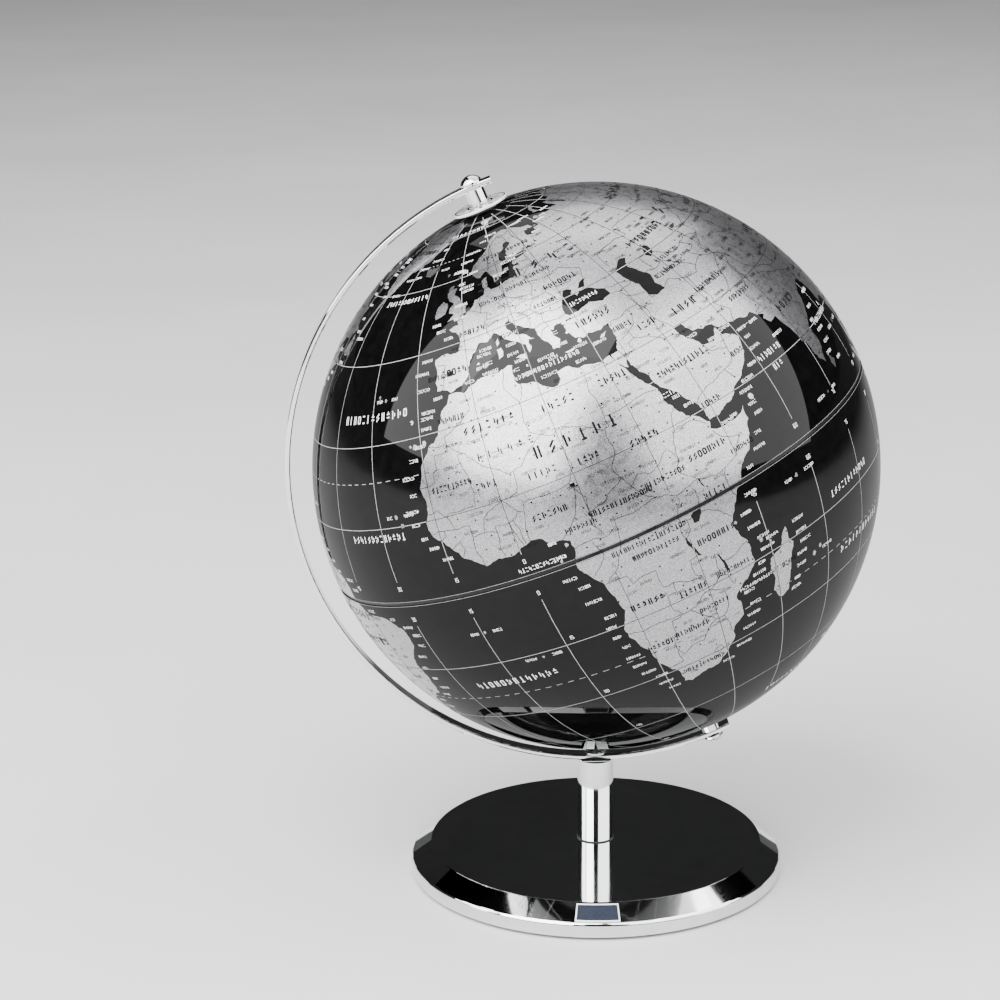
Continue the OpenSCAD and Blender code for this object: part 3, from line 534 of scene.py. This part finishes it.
def half_shell(name, half, node):
    """One printed half of the ball: map triangles outside, a plain wall inside."""
    flat, loops, kind = [], [], []
    edge_r, hole_r = 90.0 - BAND_EDGE, 90.0 - HOLE_LAT
    edge_n, hole_n, least_n = 240, 48, 8
    seg, steps = 120, 24

    def add_loop(points, tag):
        area = sum(a[0] * b[1] - b[0] * a[1] for a, b in zip(points, points[1:] + points[:1]))
        points = points if area > 0 else points[::-1]
        first = len(flat)
        flat.extend(points)
        loops.append(list(range(first, len(flat))))
        kind.append(tag)

    for r, tag, n in ((edge_r, "disc", edge_n), (hole_r, "hole", hole_n)):
        add_loop([(r * math.cos(2 * math.pi * i / n), r * math.sin(2 * math.pi * i / n))
                  for i in range(n)], tag)
    for rings, tag in ((land_rings, "land"), (water_rings, "water")):
        for ring in rings:
            if max(half * p[1] for p in ring) > BAND_EDGE:
                add_loop([plane(*p, half) for p in ring], tag)
    r = hole_r + CELL
    while r < edge_r - CELL / 2:
        n = max(least_n, round(2 * math.pi * r / CELL))
        stagger = 0.5 * (round(r) % 2)
        flat.extend((r * math.cos(2 * math.pi * (i + stagger) / n),
                     r * math.sin(2 * math.pi * (i + stagger) / n)) for i in range(n))
        r += CELL
    pts, _, tris, _, _, owners = delaunay_2d_cdt(
        [Vector(p) for p in flat], [], loops, 0, 1e-6, True)

    faces, indices = [], []
    for tri, owner in zip(tris, owners):
        tags = {kind[o] for o in owner}
        if "disc" not in tags or "hole" in tags:
            continue
        faces.append(tri if half > 0 else tri[::-1])    # anticlockwise seen from outside
        indices.append(1 if "land" in tags and "water" not in tags else 0)
    used = sorted({i for f in faces for i in f})
    new = {old: i for i, old in enumerate(used)}
    faces = [tuple(new[i] for i in f) for f in faces]
    normals = [outward(math.degrees(math.atan2(pts[i].y, pts[i].x)),
                       half * (90.0 - pts[i].length)) for i in used]
    verts = [CENTRE + n * SHELL_R for n in normals]

    # The moulded rim at the band, and the plain inside of the wall.
    inner_r = SHELL_R - SHELL_T
    rim_h = half * math.sin(math.radians(BAND_EDGE)) * SHELL_R

    def ring_at(radius, height, normal):
        first = len(verts)
        for i in range(seg):
            t = 2 * math.pi * i / seg
            across = SIDE * math.cos(t) + FRONT * math.sin(t)
            verts.append(CENTRE + across * radius + POLE * height)
            normals.append(normal(across, height))
        return first

    def skin(lower, upper, flip):
        for i in range(seg):
            j = (i + 1) % seg
            quad = (lower + i, lower + j, upper + j, upper + i)
            faces.append(quad[::-1] if flip else quad)
            indices.append(0)

    def down(across, height):
        return POLE * -half

    rim = [ring_at(r, rim_h, down) for r in (SHELL_R - RIM_STEP, inner_r)]
    skin(rim[0], rim[1], half > 0)
    last = None
    for k in range(steps + 1):
        la = math.radians(BAND_EDGE + (HOLE_LAT - BAND_EDGE) * k / steps)
        ring = ring_at(inner_r * math.cos(la), half * inner_r * math.sin(la),
                       lambda across, height: -(across * math.cos(la) + POLE * half * math.sin(la)))
        if last is not None:
            skin(last, ring, half > 0)
        last = ring
    obj = mesh_object(name, verts, faces, normals, (SEA, GROUND), indices)
    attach(obj, "globe")
    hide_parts(node)


class Ink:
    """Thin raised strokes on a surface, gathered into one object."""

    def __init__(self):
        self.verts, self.normals, self.faces = [], [], []

    def ribbon(self, points, normals, width):
        """A flat ribbon along points that lie on the surface."""
        first = len(self.verts)
        last = len(points) - 1
        for i, (p, n) in enumerate(zip(points, normals)):
            along = points[min(i + 1, last)] - points[max(i - 1, 0)]
            across = n.cross(along).normalized() * (width / 2)
            self.verts += [p - across, p + across]
            self.normals += [n, n]
        for i in range(last):
            a = first + 2 * i
            self.faces.append((a, a + 2, a + 3, a + 1))

    def patch(self, centre, normal, east, r, corners=8):
        """A filled dot on the surface."""
        north = normal.cross(east)
        first = len(self.verts)
        for i in range(corners):
            t = 2 * math.pi * i / corners
            self.verts.append(centre + (east * math.cos(t) + north * math.sin(t)) * r)
            self.normals.append(normal)
        self.faces.append(tuple(range(first, first + corners)))

    def build(self, name, material, body, slot):
        """The gathered strokes as one piece of a body."""
        obj = mesh_object(name, self.verts, self.faces, self.normals, (material,))
        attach(obj, body)


def map_line(places, width, dash=None):
    """A line on the map, grey over sea and dark over land, plain or dashed.

    A dash and the gap after it are each that number of steps long.
    """
    middles = [((a[0] + b[0]) / 2, (a[1] + b[1]) / 2) for a, b in zip(places, places[1:])]
    dry = on_land(middles)
    run, tone = [], None

    def flush():
        if len(run) > 1:
            ways = [outward(*p) for p in run]
            (dark if tone else faint).ribbon([CENTRE + w * LINE_R for w in ways], ways, width)

    for i, here in enumerate(dry):
        shown = dash is None or (i // dash) % 2 == 0
        key = bool(here) if shown else None
        if key != tone or not shown:
            flush()
            run = [places[i]]
            tone = key
        if shown:
            run.append(places[i + 1])
        else:
            run = []
    flush()


def spaced(a, b, step):
    """Evenly spaced places from a to b, about a step apart."""
    n = max(1, round(math.hypot(b[0] - a[0], b[1] - a[1]) / step))
    return [(a[0] + (b[0] - a[0]) * i / n, a[1] + (b[1] - a[1]) * i / n) for i in range(n + 1)]


# Marks that stand in for lettering, on a grid one letter high and half a letter
# wide.  They are drawn at random and spell nothing.
MARKS = [
    [((0.2, 0), (0.2, 1))], [((0.1, 0), (0.1, 1)), ((0.45, 0), (0.45, 1))],
    [((0.05, 0.1), (0.5, 0.1)), ((0.05, 0.9), (0.5, 0.9))],
    [((0.1, 0), (0.1, 0.4)), ((0.1, 0.6), (0.1, 1)), ((0.45, 0.2), (0.45, 0.8))],
    [((0.05, 0.1), (0.05, 0.9), (0.5, 0.9), (0.5, 0.1), (0.05, 0.1))],
    [((0.05, 0.05), (0.5, 0.05)), ((0.28, 0.05), (0.28, 1))],
    [((0.1, 0), (0.1, 1)), ((0.45, 0.3), (0.45, 0.7))],
    [((0.1, 0.3), (0.1, 1)), ((0.45, 0), (0.45, 0.7))],
    [((0.05, 0.5), (0.5, 0.95)), ((0.05, 0.05), (0.5, 0.5))],
    [((0.05, 0.3), (0.5, 0.3)), ((0.05, 0.7), (0.5, 0.7)), ((0.28, 0.7), (0.28, 1))]]
# Strokes of the ten digits, as on a seven-bar display.
BARS = {
    "top": ((0, 1), (0.5, 1)), "mid": ((0, 0.5), (0.5, 0.5)), "low": ((0, 0), (0.5, 0)),
    "nw": ((0, 0.5), (0, 1)), "ne": ((0.5, 0.5), (0.5, 1)), "sw": ((0, 0), (0, 0.5)),
    "se": ((0.5, 0), (0.5, 0.5))}
DIGITS = {
    "0": "top low nw ne sw se", "1": "ne se", "2": "top ne mid sw low", "3": "top ne mid se low",
    "4": "nw mid ne se", "5": "top nw mid se low", "6": "top nw mid sw se low", "7": "top ne se",
    "8": "top mid low nw ne sw se", "9": "top mid low nw ne se"}


def digit_strokes(text):
    """Strokes of each digit in a number."""
    return [[BARS[b] for b in DIGITS[d].split()] for d in text]


def map_text(ink, lon, lat, letters, height, spacing, weight):
    """Letters set along a parallel, centred on the place, height in millimetres.

    The stroke's width is the weight times the height.
    """
    degree = SHELL_R * math.radians(1.0)
    pitch = height * MM * (0.5 + 0.32 * spacing)    # from letter to letter
    size = height * MM
    x = -pitch * (len(letters) - 1) / 2 - size / 4
    wide = degree * max(0.1, math.cos(math.radians(lat)))   # one degree along the parallel
    for strokes in letters:
        for stroke in strokes:
            ways = [outward(lon + (x + u * size) / wide, lat + (v - 0.5) * size / degree)
                    for u, v in stroke]
            for a, b in zip(ways, ways[1:]):
                ink.ribbon([CENTRE + a * TEXT_R, CENTRE + b * TEXT_R], [a, b], weight * size)
        x += pitch


def scribble(n):
    """n marks picked at random."""
    return [rng.choice(MARKS) for _ in range(n)]


# ---------------------------------------------------------------- materials
NOISE_SPAN = (0.3, 0.7)                         # the values between which most of a noise lies
CLOUD = 7.0                                     # the gloss varies this much more coarsely
COAT_IOR = 1.5                                  # the lacquer over the print


def noise(tree, scale, detail, rough=0.5):
    """Noise in the object's own coordinates; scale is in features per metre."""
    place = tree.nodes.new("ShaderNodeTexCoord")
    n = tree.nodes.new("ShaderNodeTexNoise")
    n.inputs["Scale"].default_value = scale
    n.inputs["Detail"].default_value = detail
    n.inputs["Roughness"].default_value = rough
    tree.links.new(place.outputs["Object"], n.inputs["Vector"])
    return n.outputs["Fac"]


def ramp(tree, source, stops):
    """A ramp between two colours; stops are (place, colour)."""
    node = tree.nodes.new("ShaderNodeValToRGB")
    for element, (at, colour) in zip(node.color_ramp.elements, stops):
        element.position = at
        element.color = (*colour, 1.0)
    tree.links.new(source, node.inputs["Fac"])
    return node.outputs["Color"]


def spread(tree, source, low, high):
    """The noise, spread between two values."""
    node = tree.nodes.new("ShaderNodeMapRange")
    for socket, value in zip(("From Min", "From Max", "To Min", "To Max"),
                             (*NOISE_SPAN, low, high)):
        node.inputs[socket].default_value = value
    tree.links.new(source, node.inputs["Value"])
    return node.outputs["Result"]


def bump(tree, source, shader, depth):
    """Bump of that depth in metres."""
    b = tree.nodes.new("ShaderNodeBump")
    b.inputs["Distance"].default_value = depth
    b.inputs["Strength"].default_value = 1.0
    tree.links.new(source, b.inputs["Height"])
    tree.links.new(b.outputs["Normal"], shader.inputs["Normal"])


def finish_of(name, dark_tone, light_tone, rough, metallic, scale, depth, coat=0.0,
              coat_rough=0.03, detail=3.0, specular=0.5):
    """A material whose colour, gloss and surface all vary a little."""
    material = bpy.data.materials.new(name)
    material.use_nodes = True
    tree = material.node_tree
    shader = tree.nodes["Principled BSDF"]
    shader.inputs["Coat IOR"].default_value = COAT_IOR
    shader.inputs["Metallic"].default_value = metallic
    shader.inputs["Coat Weight"].default_value = coat
    shader.inputs["Coat Roughness"].default_value = coat_rough
    shader.inputs["Specular IOR Level"].default_value = specular
    grain = noise(tree, scale, detail, 0.6)
    tree.links.new(ramp(tree, grain, zip(NOISE_SPAN, (dark_tone, light_tone))),
                   shader.inputs["Base Color"])
    cloud = noise(tree, scale / CLOUD, 2.0)
    tree.links.new(spread(tree, cloud, *rough), shader.inputs["Roughness"])
    bump(tree, grain, shader, depth)
    return material


def grey(v, warm=0.0):
    """A grey, warmer where warm is above nought and cooler below it."""
    return v * (1 + warm), v, v * (1 - warm)


SEA = finish_of("sea_gloss", grey(0.0010), grey(0.0024), (0.2, 0.3), 0.0, 260, 2e-7, coat=0.32,
                coat_rough=0.025, specular=0.0)
# The land's silver and grain are its own colour, but their faint purple cast is a painted reflection of
# red velvet below the globe.
GROUND = finish_of("land_silver_painted_reflection", (0.12, 0.116, 0.124), (0.51, 0.497, 0.52), (0.25, 0.33), 0.95,
                   3000, 1.4e-5, coat=0.35, coat_rough=0.04, detail=2.0)
WHITE_INK = finish_of("white_ink", grey(0.6), grey(0.8), (0.5, 0.6), 0.0, 3000, 1e-6, specular=0.2)
GREY_INK = finish_of("grey_ink", grey(0.24), grey(0.34), (0.5, 0.6), 0.0, 3000, 1e-6, specular=0.2)
BLACK_INK = finish_of("black_ink", grey(0.0015), grey(0.004), (0.55, 0.7), 0.0, 3000, 1e-6,
                      specular=0.08)
CHROME = finish_of("chrome_plate", grey(0.70, -0.01), grey(0.78, -0.01), (0.035, 0.075), 1.0, 90,
                   1.5e-7)
DIAL_METAL = finish_of("dial_bright", grey(0.72), grey(0.82), (0.28, 0.36), 0.45, 300, 2e-7, coat=0.5)
PLATE_METAL = finish_of("plate_bright", grey(0.78), grey(0.88), (0.35, 0.45), 0.3, 900, 1e-6)
PLATE_FIELD = finish_of("plate_enamel", (0.008, 0.011, 0.02), (0.018, 0.023, 0.036), (0.35, 0.45),
                        0.0, 1500, 2e-6, coat=0.1, specular=0.15)
STEEL = finish_of("screw_steel_bright", grey(0.5), grey(0.62), (0.2, 0.32), 1.0, 700, 2e-6)
IRON = finish_of("cast_iron", grey(0.05, 0.04), grey(0.12, 0.04), (0.55, 0.75), 0.6, 500, 6e-5)
RUBBER = finish_of("pad_foam", grey(0.012), grey(0.028), (0.75, 0.9), 0.0, 2500, 4e-5)
BAND = finish_of("band_gloss", grey(0.002), grey(0.005), (0.4, 0.5), 0.0, 400, 5e-7, coat=0.3,
                 coat_rough=0.2, specular=0.1)
BUSH = finish_of("bush_moulded", grey(0.02), grey(0.04), (0.35, 0.5), 0.0, 1200, 3e-6)
SLOT_LOOK = {
    "chrome": CHROME, "dial_metal": DIAL_METAL, "plate_metal": PLATE_METAL, "screw_steel": STEEL,
    "weight_iron": IRON, "pad_rubber": RUBBER, "ring_plastic": BAND, "bush_plastic": BUSH,
    "globe_shell": SEA}
for part in frame["record"]["subparts"]:
    for s in frame["nodes"][part["node"]].material_slots:
        s.material = SLOT_LOOK[part["material_slot"]]

# ---------------------------------------------------------------- the globe
half_shell("north_half", 1, "north_hemisphere")
half_shell("south_half", -1, "south_hemisphere")

light, faint, dark = Ink(), Ink(), Ink()
GRID = 15                                       # degrees between meridians, and parallels
LINE, EDGE_LINE = 0.2 * MM, 0.1 * MM            # widths of the drawn lines
MERIDIAN_FROM, MERIDIAN_TO = 4.6, 82            # latitudes between which a meridian is drawn
LONG_STEP, LONG_TO = 45, 87                     # the meridians that run on towards the pole
EDGE_LAT = 0.46                                 # the fine line beside the black band
TROPIC, POLAR = 23.45, 66.55
NUMBER_LAT = 3.2                                # where the meridians are numbered
NUMBER_H, NUMBER_GAP, NUMBER_WEIGHT = 1.3, 0.9, 0.13
BESIDE, ABOVE = 1.6, 1.3                        # a parallel's number, off the crossing, in degrees


def parallel(lat, step, width, dash=None):
    """A whole circle of latitude."""
    map_line(spaced((-180, lat), (180, lat), step), width, dash)


def grid_number(lon, lat, value):
    """A number of degrees, dark over land and light over sea."""
    ink = dark if on_land([(lon, lat)])[0] else light
    map_text(ink, lon, lat, digit_strokes(str(abs(value))), NUMBER_H, NUMBER_GAP, NUMBER_WEIGHT)


for lon in range(-180, 180, GRID):
    for half in (1, -1):
        top = MERIDIAN_TO if lon % LONG_STEP else LONG_TO
        map_line(spaced((lon, half * MERIDIAN_FROM), (lon, half * top), 0.35), LINE)
for lat in range(-75, 76, GRID):
    if lat:
        parallel(lat, 0.4, LINE)
for lat in (TROPIC, -TROPIC, POLAR, -POLAR):
    parallel(lat, 0.45, LINE, dash=3)
for lat in (EDGE_LAT, -EDGE_LAT):
    parallel(lat, 0.5, EDGE_LINE)
for lon in range(-180, 180, GRID):
    for half in (1, -1):
        grid_number(lon, half * NUMBER_LAT, lon)
for lat in (15, 30, 45, 60, -15, -30, -45, -60):
    for lon in (0, 90, 180, -90):
        grid_number(lon + BESIDE, lat + ABOVE, lat)
for line in BORDERS:
    ways = [outward(*p) for p in roughen(line, False, BORDER_ROUGH)]
    dark.ribbon([CENTRE + w * BORDER_R for w in ways], ways, LINE)

# Each list's ink, its height and spacing over those written above, and its stroke weight.
for names, ink, taller, wider, weight in (
        (NAMES_LAND, dark, 1.15, 0.95, 0.24), (NAMES_BIG, dark, 1.0, 1.0, 0.19),
        (NAMES_SEA, light, 1.0, 1.0, 0.16)):
    for lon, lat, n, high, gap in names:
        map_text(ink, lon, lat, scribble(n), high * taller, gap * wider, weight)

# Towns have a dot, and beside it a short dark name if there is land enough.
# Names by the coast run out over the sea in white, without a dot.
TOWN_H, TOWN_GAP, TOWN_WEIGHT = 1.05, 0.6, 0.17
TOWN_DOT = 0.32 * MM
TOWN_TRIES, TOWN_APART = 2800, 2.3              # spots tried, and degrees between those kept
SOUTHMOST, NORTHMOST = -0.62, 0.9               # sines of the latitudes between which towns lie
PORT_STEP = 5                                   # one name to this many points of the coast
PORT_LATS = (1.5, 72)                           # latitudes between which ports are named
PORT_APART = (7, 1.3)                           # degrees of longitude, or of latitude
SEA_TESTS = (0.9, 3.2)                          # a port's name needs sea this far out, in degrees


def half_width(letters, lat):
    """Half the width of a short name, in degrees of longitude."""
    return 0.35 * TOWN_H * letters / math.cos(math.radians(lat))


def short_name(ink, lon, lat, letters):
    """A town's or port's name."""
    map_text(ink, lon, lat, scribble(letters), TOWN_H, TOWN_GAP, TOWN_WEIGHT)


spots = []
while len(spots) < TOWN_TRIES:
    spots.append((rng.uniform(-180, 180),
                  math.degrees(math.asin(rng.uniform(SOUTHMOST, NORTHMOST)))))
towns = []
for spot, is_dry in zip(spots, on_land(spots)):
    if is_dry and all(math.hypot(spot[0] - t[0], spot[1] - t[1]) > TOWN_APART for t in towns):
        towns.append(spot)
for lon, lat in towns:
    way = outward(lon, lat)
    dark.patch(CENTRE + way * TEXT_R, way, POLE.cross(way).normalized(), TOWN_DOT)
    n = rng.randint(4, 8)
    beside = 1.0 + half_width(n, lat)
    up_by = rng.choice((0.0, 0.6, -0.6))
    if on_land([(lon + 2 * beside, lat)])[0]:
        short_name(dark, lon + beside, lat + up_by, n)
ports = []
for ring in land_rings:
    for lon, lat in ring[::PORT_STEP]:
        if PORT_LATS[0] < abs(lat) < PORT_LATS[1] and all(
                abs(lat - p[1]) > PORT_APART[1] or abs(lon - p[0]) > PORT_APART[0]
                for p in ports):
            ports.append((lon, lat))
for side in (1, -1):
    wet = [~on_land([(lon + side * out, lat) for lon, lat in ports]) for out in SEA_TESTS]
    for (lon, lat), near_wet, far_wet in zip(ports, *wet):
        if near_wet and far_wet:
            n = rng.randint(4, 8)
            short_name(light, lon + side * (0.8 + half_width(n, lat)), lat, n)
light.build("map_ink_light", WHITE_INK, "globe", "globe_shell")
faint.build("map_lines_sea", GREY_INK, "globe", "globe_shell")
dark.build("map_ink_dark", BLACK_INK, "globe", "globe_shell")

# ---------------------------------------------------------------- the hour dial
dial_ink = Ink()
dial_lo, dial_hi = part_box("hour_dial")
DIAL_R = (dial_hi.y - dial_lo.y) / 2
RIM_R, HUB_R = DIAL_R - 0.8 * MM, DIAL_R * 0.45  # the two printed circles
RIM_W, HUB_W = 0.5 * MM, 0.8 * MM
HOURS = 24
LONG_TICK, SHORT_TICK = 2.3 * MM, 1.6 * MM      # how far a tick reaches in from the edge
DIGIT_H, DIGIT_W = 1.7 * MM, 0.4 * MM           # height and stroke of a digit
DIGIT_R = DIAL_R - 3.5 * MM                     # radius through the middle of the digits
DIGIT_PITCH = 0.85                              # from digit to digit, over the height


def dial_print(places, width):
    """A stroke on the dial's outer face through (radius, degrees) places."""
    points = []
    for r, turn in places:
        t = math.radians(turn)
        across = SIDE * math.cos(t) + FRONT * math.sin(t)
        points.append(CENTRE + POLE * (DIAL_TOP + DIAL_LIFT) + across * r)
    dial_ink.ribbon(points, [POLE] * len(points), width)


for r, width in ((RIM_R, RIM_W), (HUB_R, HUB_W)):
    dial_print([(r, i * 3) for i in range(121)], width)
for hour in range(HOURS):
    turn = hour * 360 / HOURS
    numbered = hour % 2 == 0
    dial_print([(DIAL_R - (LONG_TICK if numbered else SHORT_TICK), turn), (RIM_R, turn)], RIM_W)
    if not numbered:
        continue
    text = digit_strokes(str(hour // 2 % 12 or 12))
    for k, strokes in enumerate(text):
        shift = (k - (len(text) - 1) / 2) * DIGIT_PITCH * DIGIT_H
        for stroke in strokes:
            places = []
            for u, v in stroke:
                r = DIGIT_R + (v - 0.5) * DIGIT_H
                along = shift + (u - 0.25) * DIGIT_H
                places.append((r, turn - math.degrees(along / r)))
            dial_print(places, DIGIT_W)
dial_ink.build("dial_print", BLACK_INK, "dial", "dial_metal")

# ---------------------------------------------------------------- the plate's field
# The base's outline and the plate, as in part.scad.
BASE_R, BASE_TOP_R, SIDE_H, BASE_H = 67.5 * MM, 60.0 * MM, 6.0 * MM, 11.2 * MM
PLATE_L, PLATE_AT = 15.0 * MM, -93.0
FIELD_MARGIN = 1.28 * MM                        # bright border above and below the field
FIELD_ENDS = 0.56                               # degrees of border, both ends together
FIELD_OUT = 0.38 * MM                           # the field's height over the bevel
FIELD_COLS = 12
slope = Vector((BASE_TOP_R - BASE_R, 0, BASE_H - SIDE_H))
slope_n = Vector((slope.z, 0, -slope.x)).normalized()
FIELD_SPAN = math.degrees(PLATE_L / ((BASE_R + BASE_TOP_R) / 2)) - FIELD_ENDS
field_v, field_n = [], []
for i in range(FIELD_COLS + 1):
    turn = Matrix.Rotation(math.radians(PLATE_AT + (i / FIELD_COLS - 0.5) * FIELD_SPAN), 3, "Z")
    for s in (FIELD_MARGIN, slope.length - FIELD_MARGIN):
        p = Vector((BASE_R, 0, SIDE_H)) + slope.normalized() * s + slope_n * FIELD_OUT
        field_v.append(turn @ p)
        field_n.append(turn @ slope_n)
field_f = [(2 * i, 2 * i + 2, 2 * i + 3, 2 * i + 1) for i in range(FIELD_COLS)]
field = mesh_object("plate_field", field_v, field_f, field_n, (PLATE_FIELD,))
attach(field, "stand")

# ---------------------------------------------------------------- the post's foot
# A thin dark ring of painted shade where the post stands on the base, standing for the crease between
# them.
post_lo, post_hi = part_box("post")
POST_R = (post_hi.x - post_lo.x) / 2
FOOT_N = 96
FOOT_CLEAR, FOOT_PROUD = 0.01 * MM, 0.18 * MM
FOOT_PROFILE = [(0.0, 0.0), (FOOT_PROUD, 0.05), (FOOT_PROUD, 0.4), (0.0, 0.5)]  # metres, mm
foot_v, foot_f = [], []
for i in range(FOOT_N):
    t = 2 * math.pi * i / FOOT_N
    for out_by, z in FOOT_PROFILE:
        r = POST_R + FOOT_CLEAR + out_by
        foot_v.append((r * math.cos(t), r * math.sin(t), post_lo.z + z * MM))
rows = len(FOOT_PROFILE)
for i in range(FOOT_N):
    j = (i + 1) % FOOT_N
    foot_f += [(i * rows + k, j * rows + k, j * rows + k + 1, i * rows + k + 1)
               for k in range(rows - 1)]
foot = mesh_object("post_foot_painted_shade", foot_v, foot_f, None, (RUBBER,))
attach(foot, "stand")

# ---------------------------------------------------------------- studio
FLOOR_HALF = 12.0
PALE = finish_of("pale_floor", grey(0.47), grey(0.51), (0.6, 0.75), 0.0, 4, 1e-5, specular=0.2)
floor = mesh_object("floor", [(-FLOOR_HALF, -FLOOR_HALF, 0), (FLOOR_HALF, -FLOOR_HALF, 0),
                              (FLOOR_HALF, FLOOR_HALF, 0), (-FLOOR_HALF, FLOOR_HALF, 0)],
                    [(0, 1, 2, 3)], None, (PALE,))
WALL_R, WALL_FOOT, SKIRT_H, WALL_H, WALL_SIDES = 11.0, -0.2, 1.5, 7.0, 32
wall_v, wall_f = [], []
for i in range(WALL_SIDES):
    t = 2 * math.pi * i / WALL_SIDES
    wall_v += [(WALL_R * math.cos(t), WALL_R * math.sin(t), z) for z in (WALL_FOOT, SKIRT_H, WALL_H)]
    j = 3 * ((i + 1) % WALL_SIDES)
    wall_f += [(3 * i + k, 3 * i + k + 1, j + k + 1, j + k) for k in (0, 1)]
DIM = finish_of("dim_wall", grey(0.08), grey(0.1), (0.8, 0.9), 0.0, 2, 1e-4)
wall = mesh_object("room_wall", wall_v, wall_f, None, (PALE, DIM), [0, 1] * WALL_SIDES)

world = bpy.data.worlds.new("studio")
bpy.context.scene.world = world
world.use_nodes = True
sky = world.node_tree.nodes["Background"]
sky.inputs["Color"].default_value = (0.97, 0.98, 1.0, 1)
sky.inputs["Strength"].default_value = 0.36
world.cycles_visibility.glossy = False          # the room is dark to the chrome and the gloss


def panel(name, place, wide, high, radiance):
    """A soft rectangular light that faces the globe; it isn't seen directly."""
    data = bpy.data.lights.new(name, "AREA")
    data.shape = "RECTANGLE"
    data.size, data.size_y = wide, high
    data.energy = radiance * wide * high * math.pi
    lamp = bpy.data.objects.new(name, data)
    lamp.location = place
    lamp.rotation_euler = (CENTRE - Vector(place)).to_track_quat("-Z", "Y").to_euler()
    lamp.visible_camera = False
    bpy.context.scene.collection.objects.link(lamp)


def around(azimuth, elevation, distance):
    """A place around the globe; azimuth 0 is the front, positive to the right."""
    a, e = math.radians(azimuth), math.radians(elevation)
    return CENTRE + Vector((math.sin(a) * math.cos(e), -math.cos(a) * math.cos(e),
                            math.sin(e))) * distance


panel("left_panel", around(-40, 42, 1.7), 1.5, 2.3, 12.0)
panel("right_panel", around(56, 36, 1.7), 2.7, 1.9, 5.4)
panel("overhead", around(80, 85, 1.9), 2.5, 2.3, 2.1)
panel("left_wing", around(-84, 30, 1.8), 0.9, 1.5, 7.5)
panel("back_ceiling", around(180, 52, 4.2), 3.5, 2.0, 2.6)

# ---------------------------------------------------------------- camera
LENS, SENSOR = 101.18, 36.0
DISTANCE = 0.9946
ELEVATION, AZIMUTH = math.radians(14.753), math.radians(3.695)
PAN, DIP = math.radians(1.946), math.radians(-0.695)
to_camera = Vector((-math.sin(AZIMUTH) * math.cos(ELEVATION),
                    -math.cos(AZIMUTH) * math.cos(ELEVATION), math.sin(ELEVATION)))
ahead = -to_camera
right = Vector((math.cos(AZIMUTH), -math.sin(AZIMUTH), 0.0))
up = right.cross(ahead)
pan = Matrix.Rotation(PAN, 3, up)
ahead, right = pan @ ahead, pan @ right
dip = Matrix.Rotation(DIP, 3, right)
ahead, up = dip @ ahead, dip @ up
lens = bpy.data.cameras.new("camera")
lens.lens, lens.sensor_width = LENS, SENSOR
lens.clip_start, lens.clip_end = 0.05, 60.0
camera = bpy.data.objects.new("camera", lens)
camera.matrix_world = Matrix.Translation(CENTRE + to_camera * DISTANCE) @ Matrix(
    (right, up, -ahead)).transposed().to_4x4()
bpy.context.scene.collection.objects.link(camera)
bpy.context.scene.camera = camera
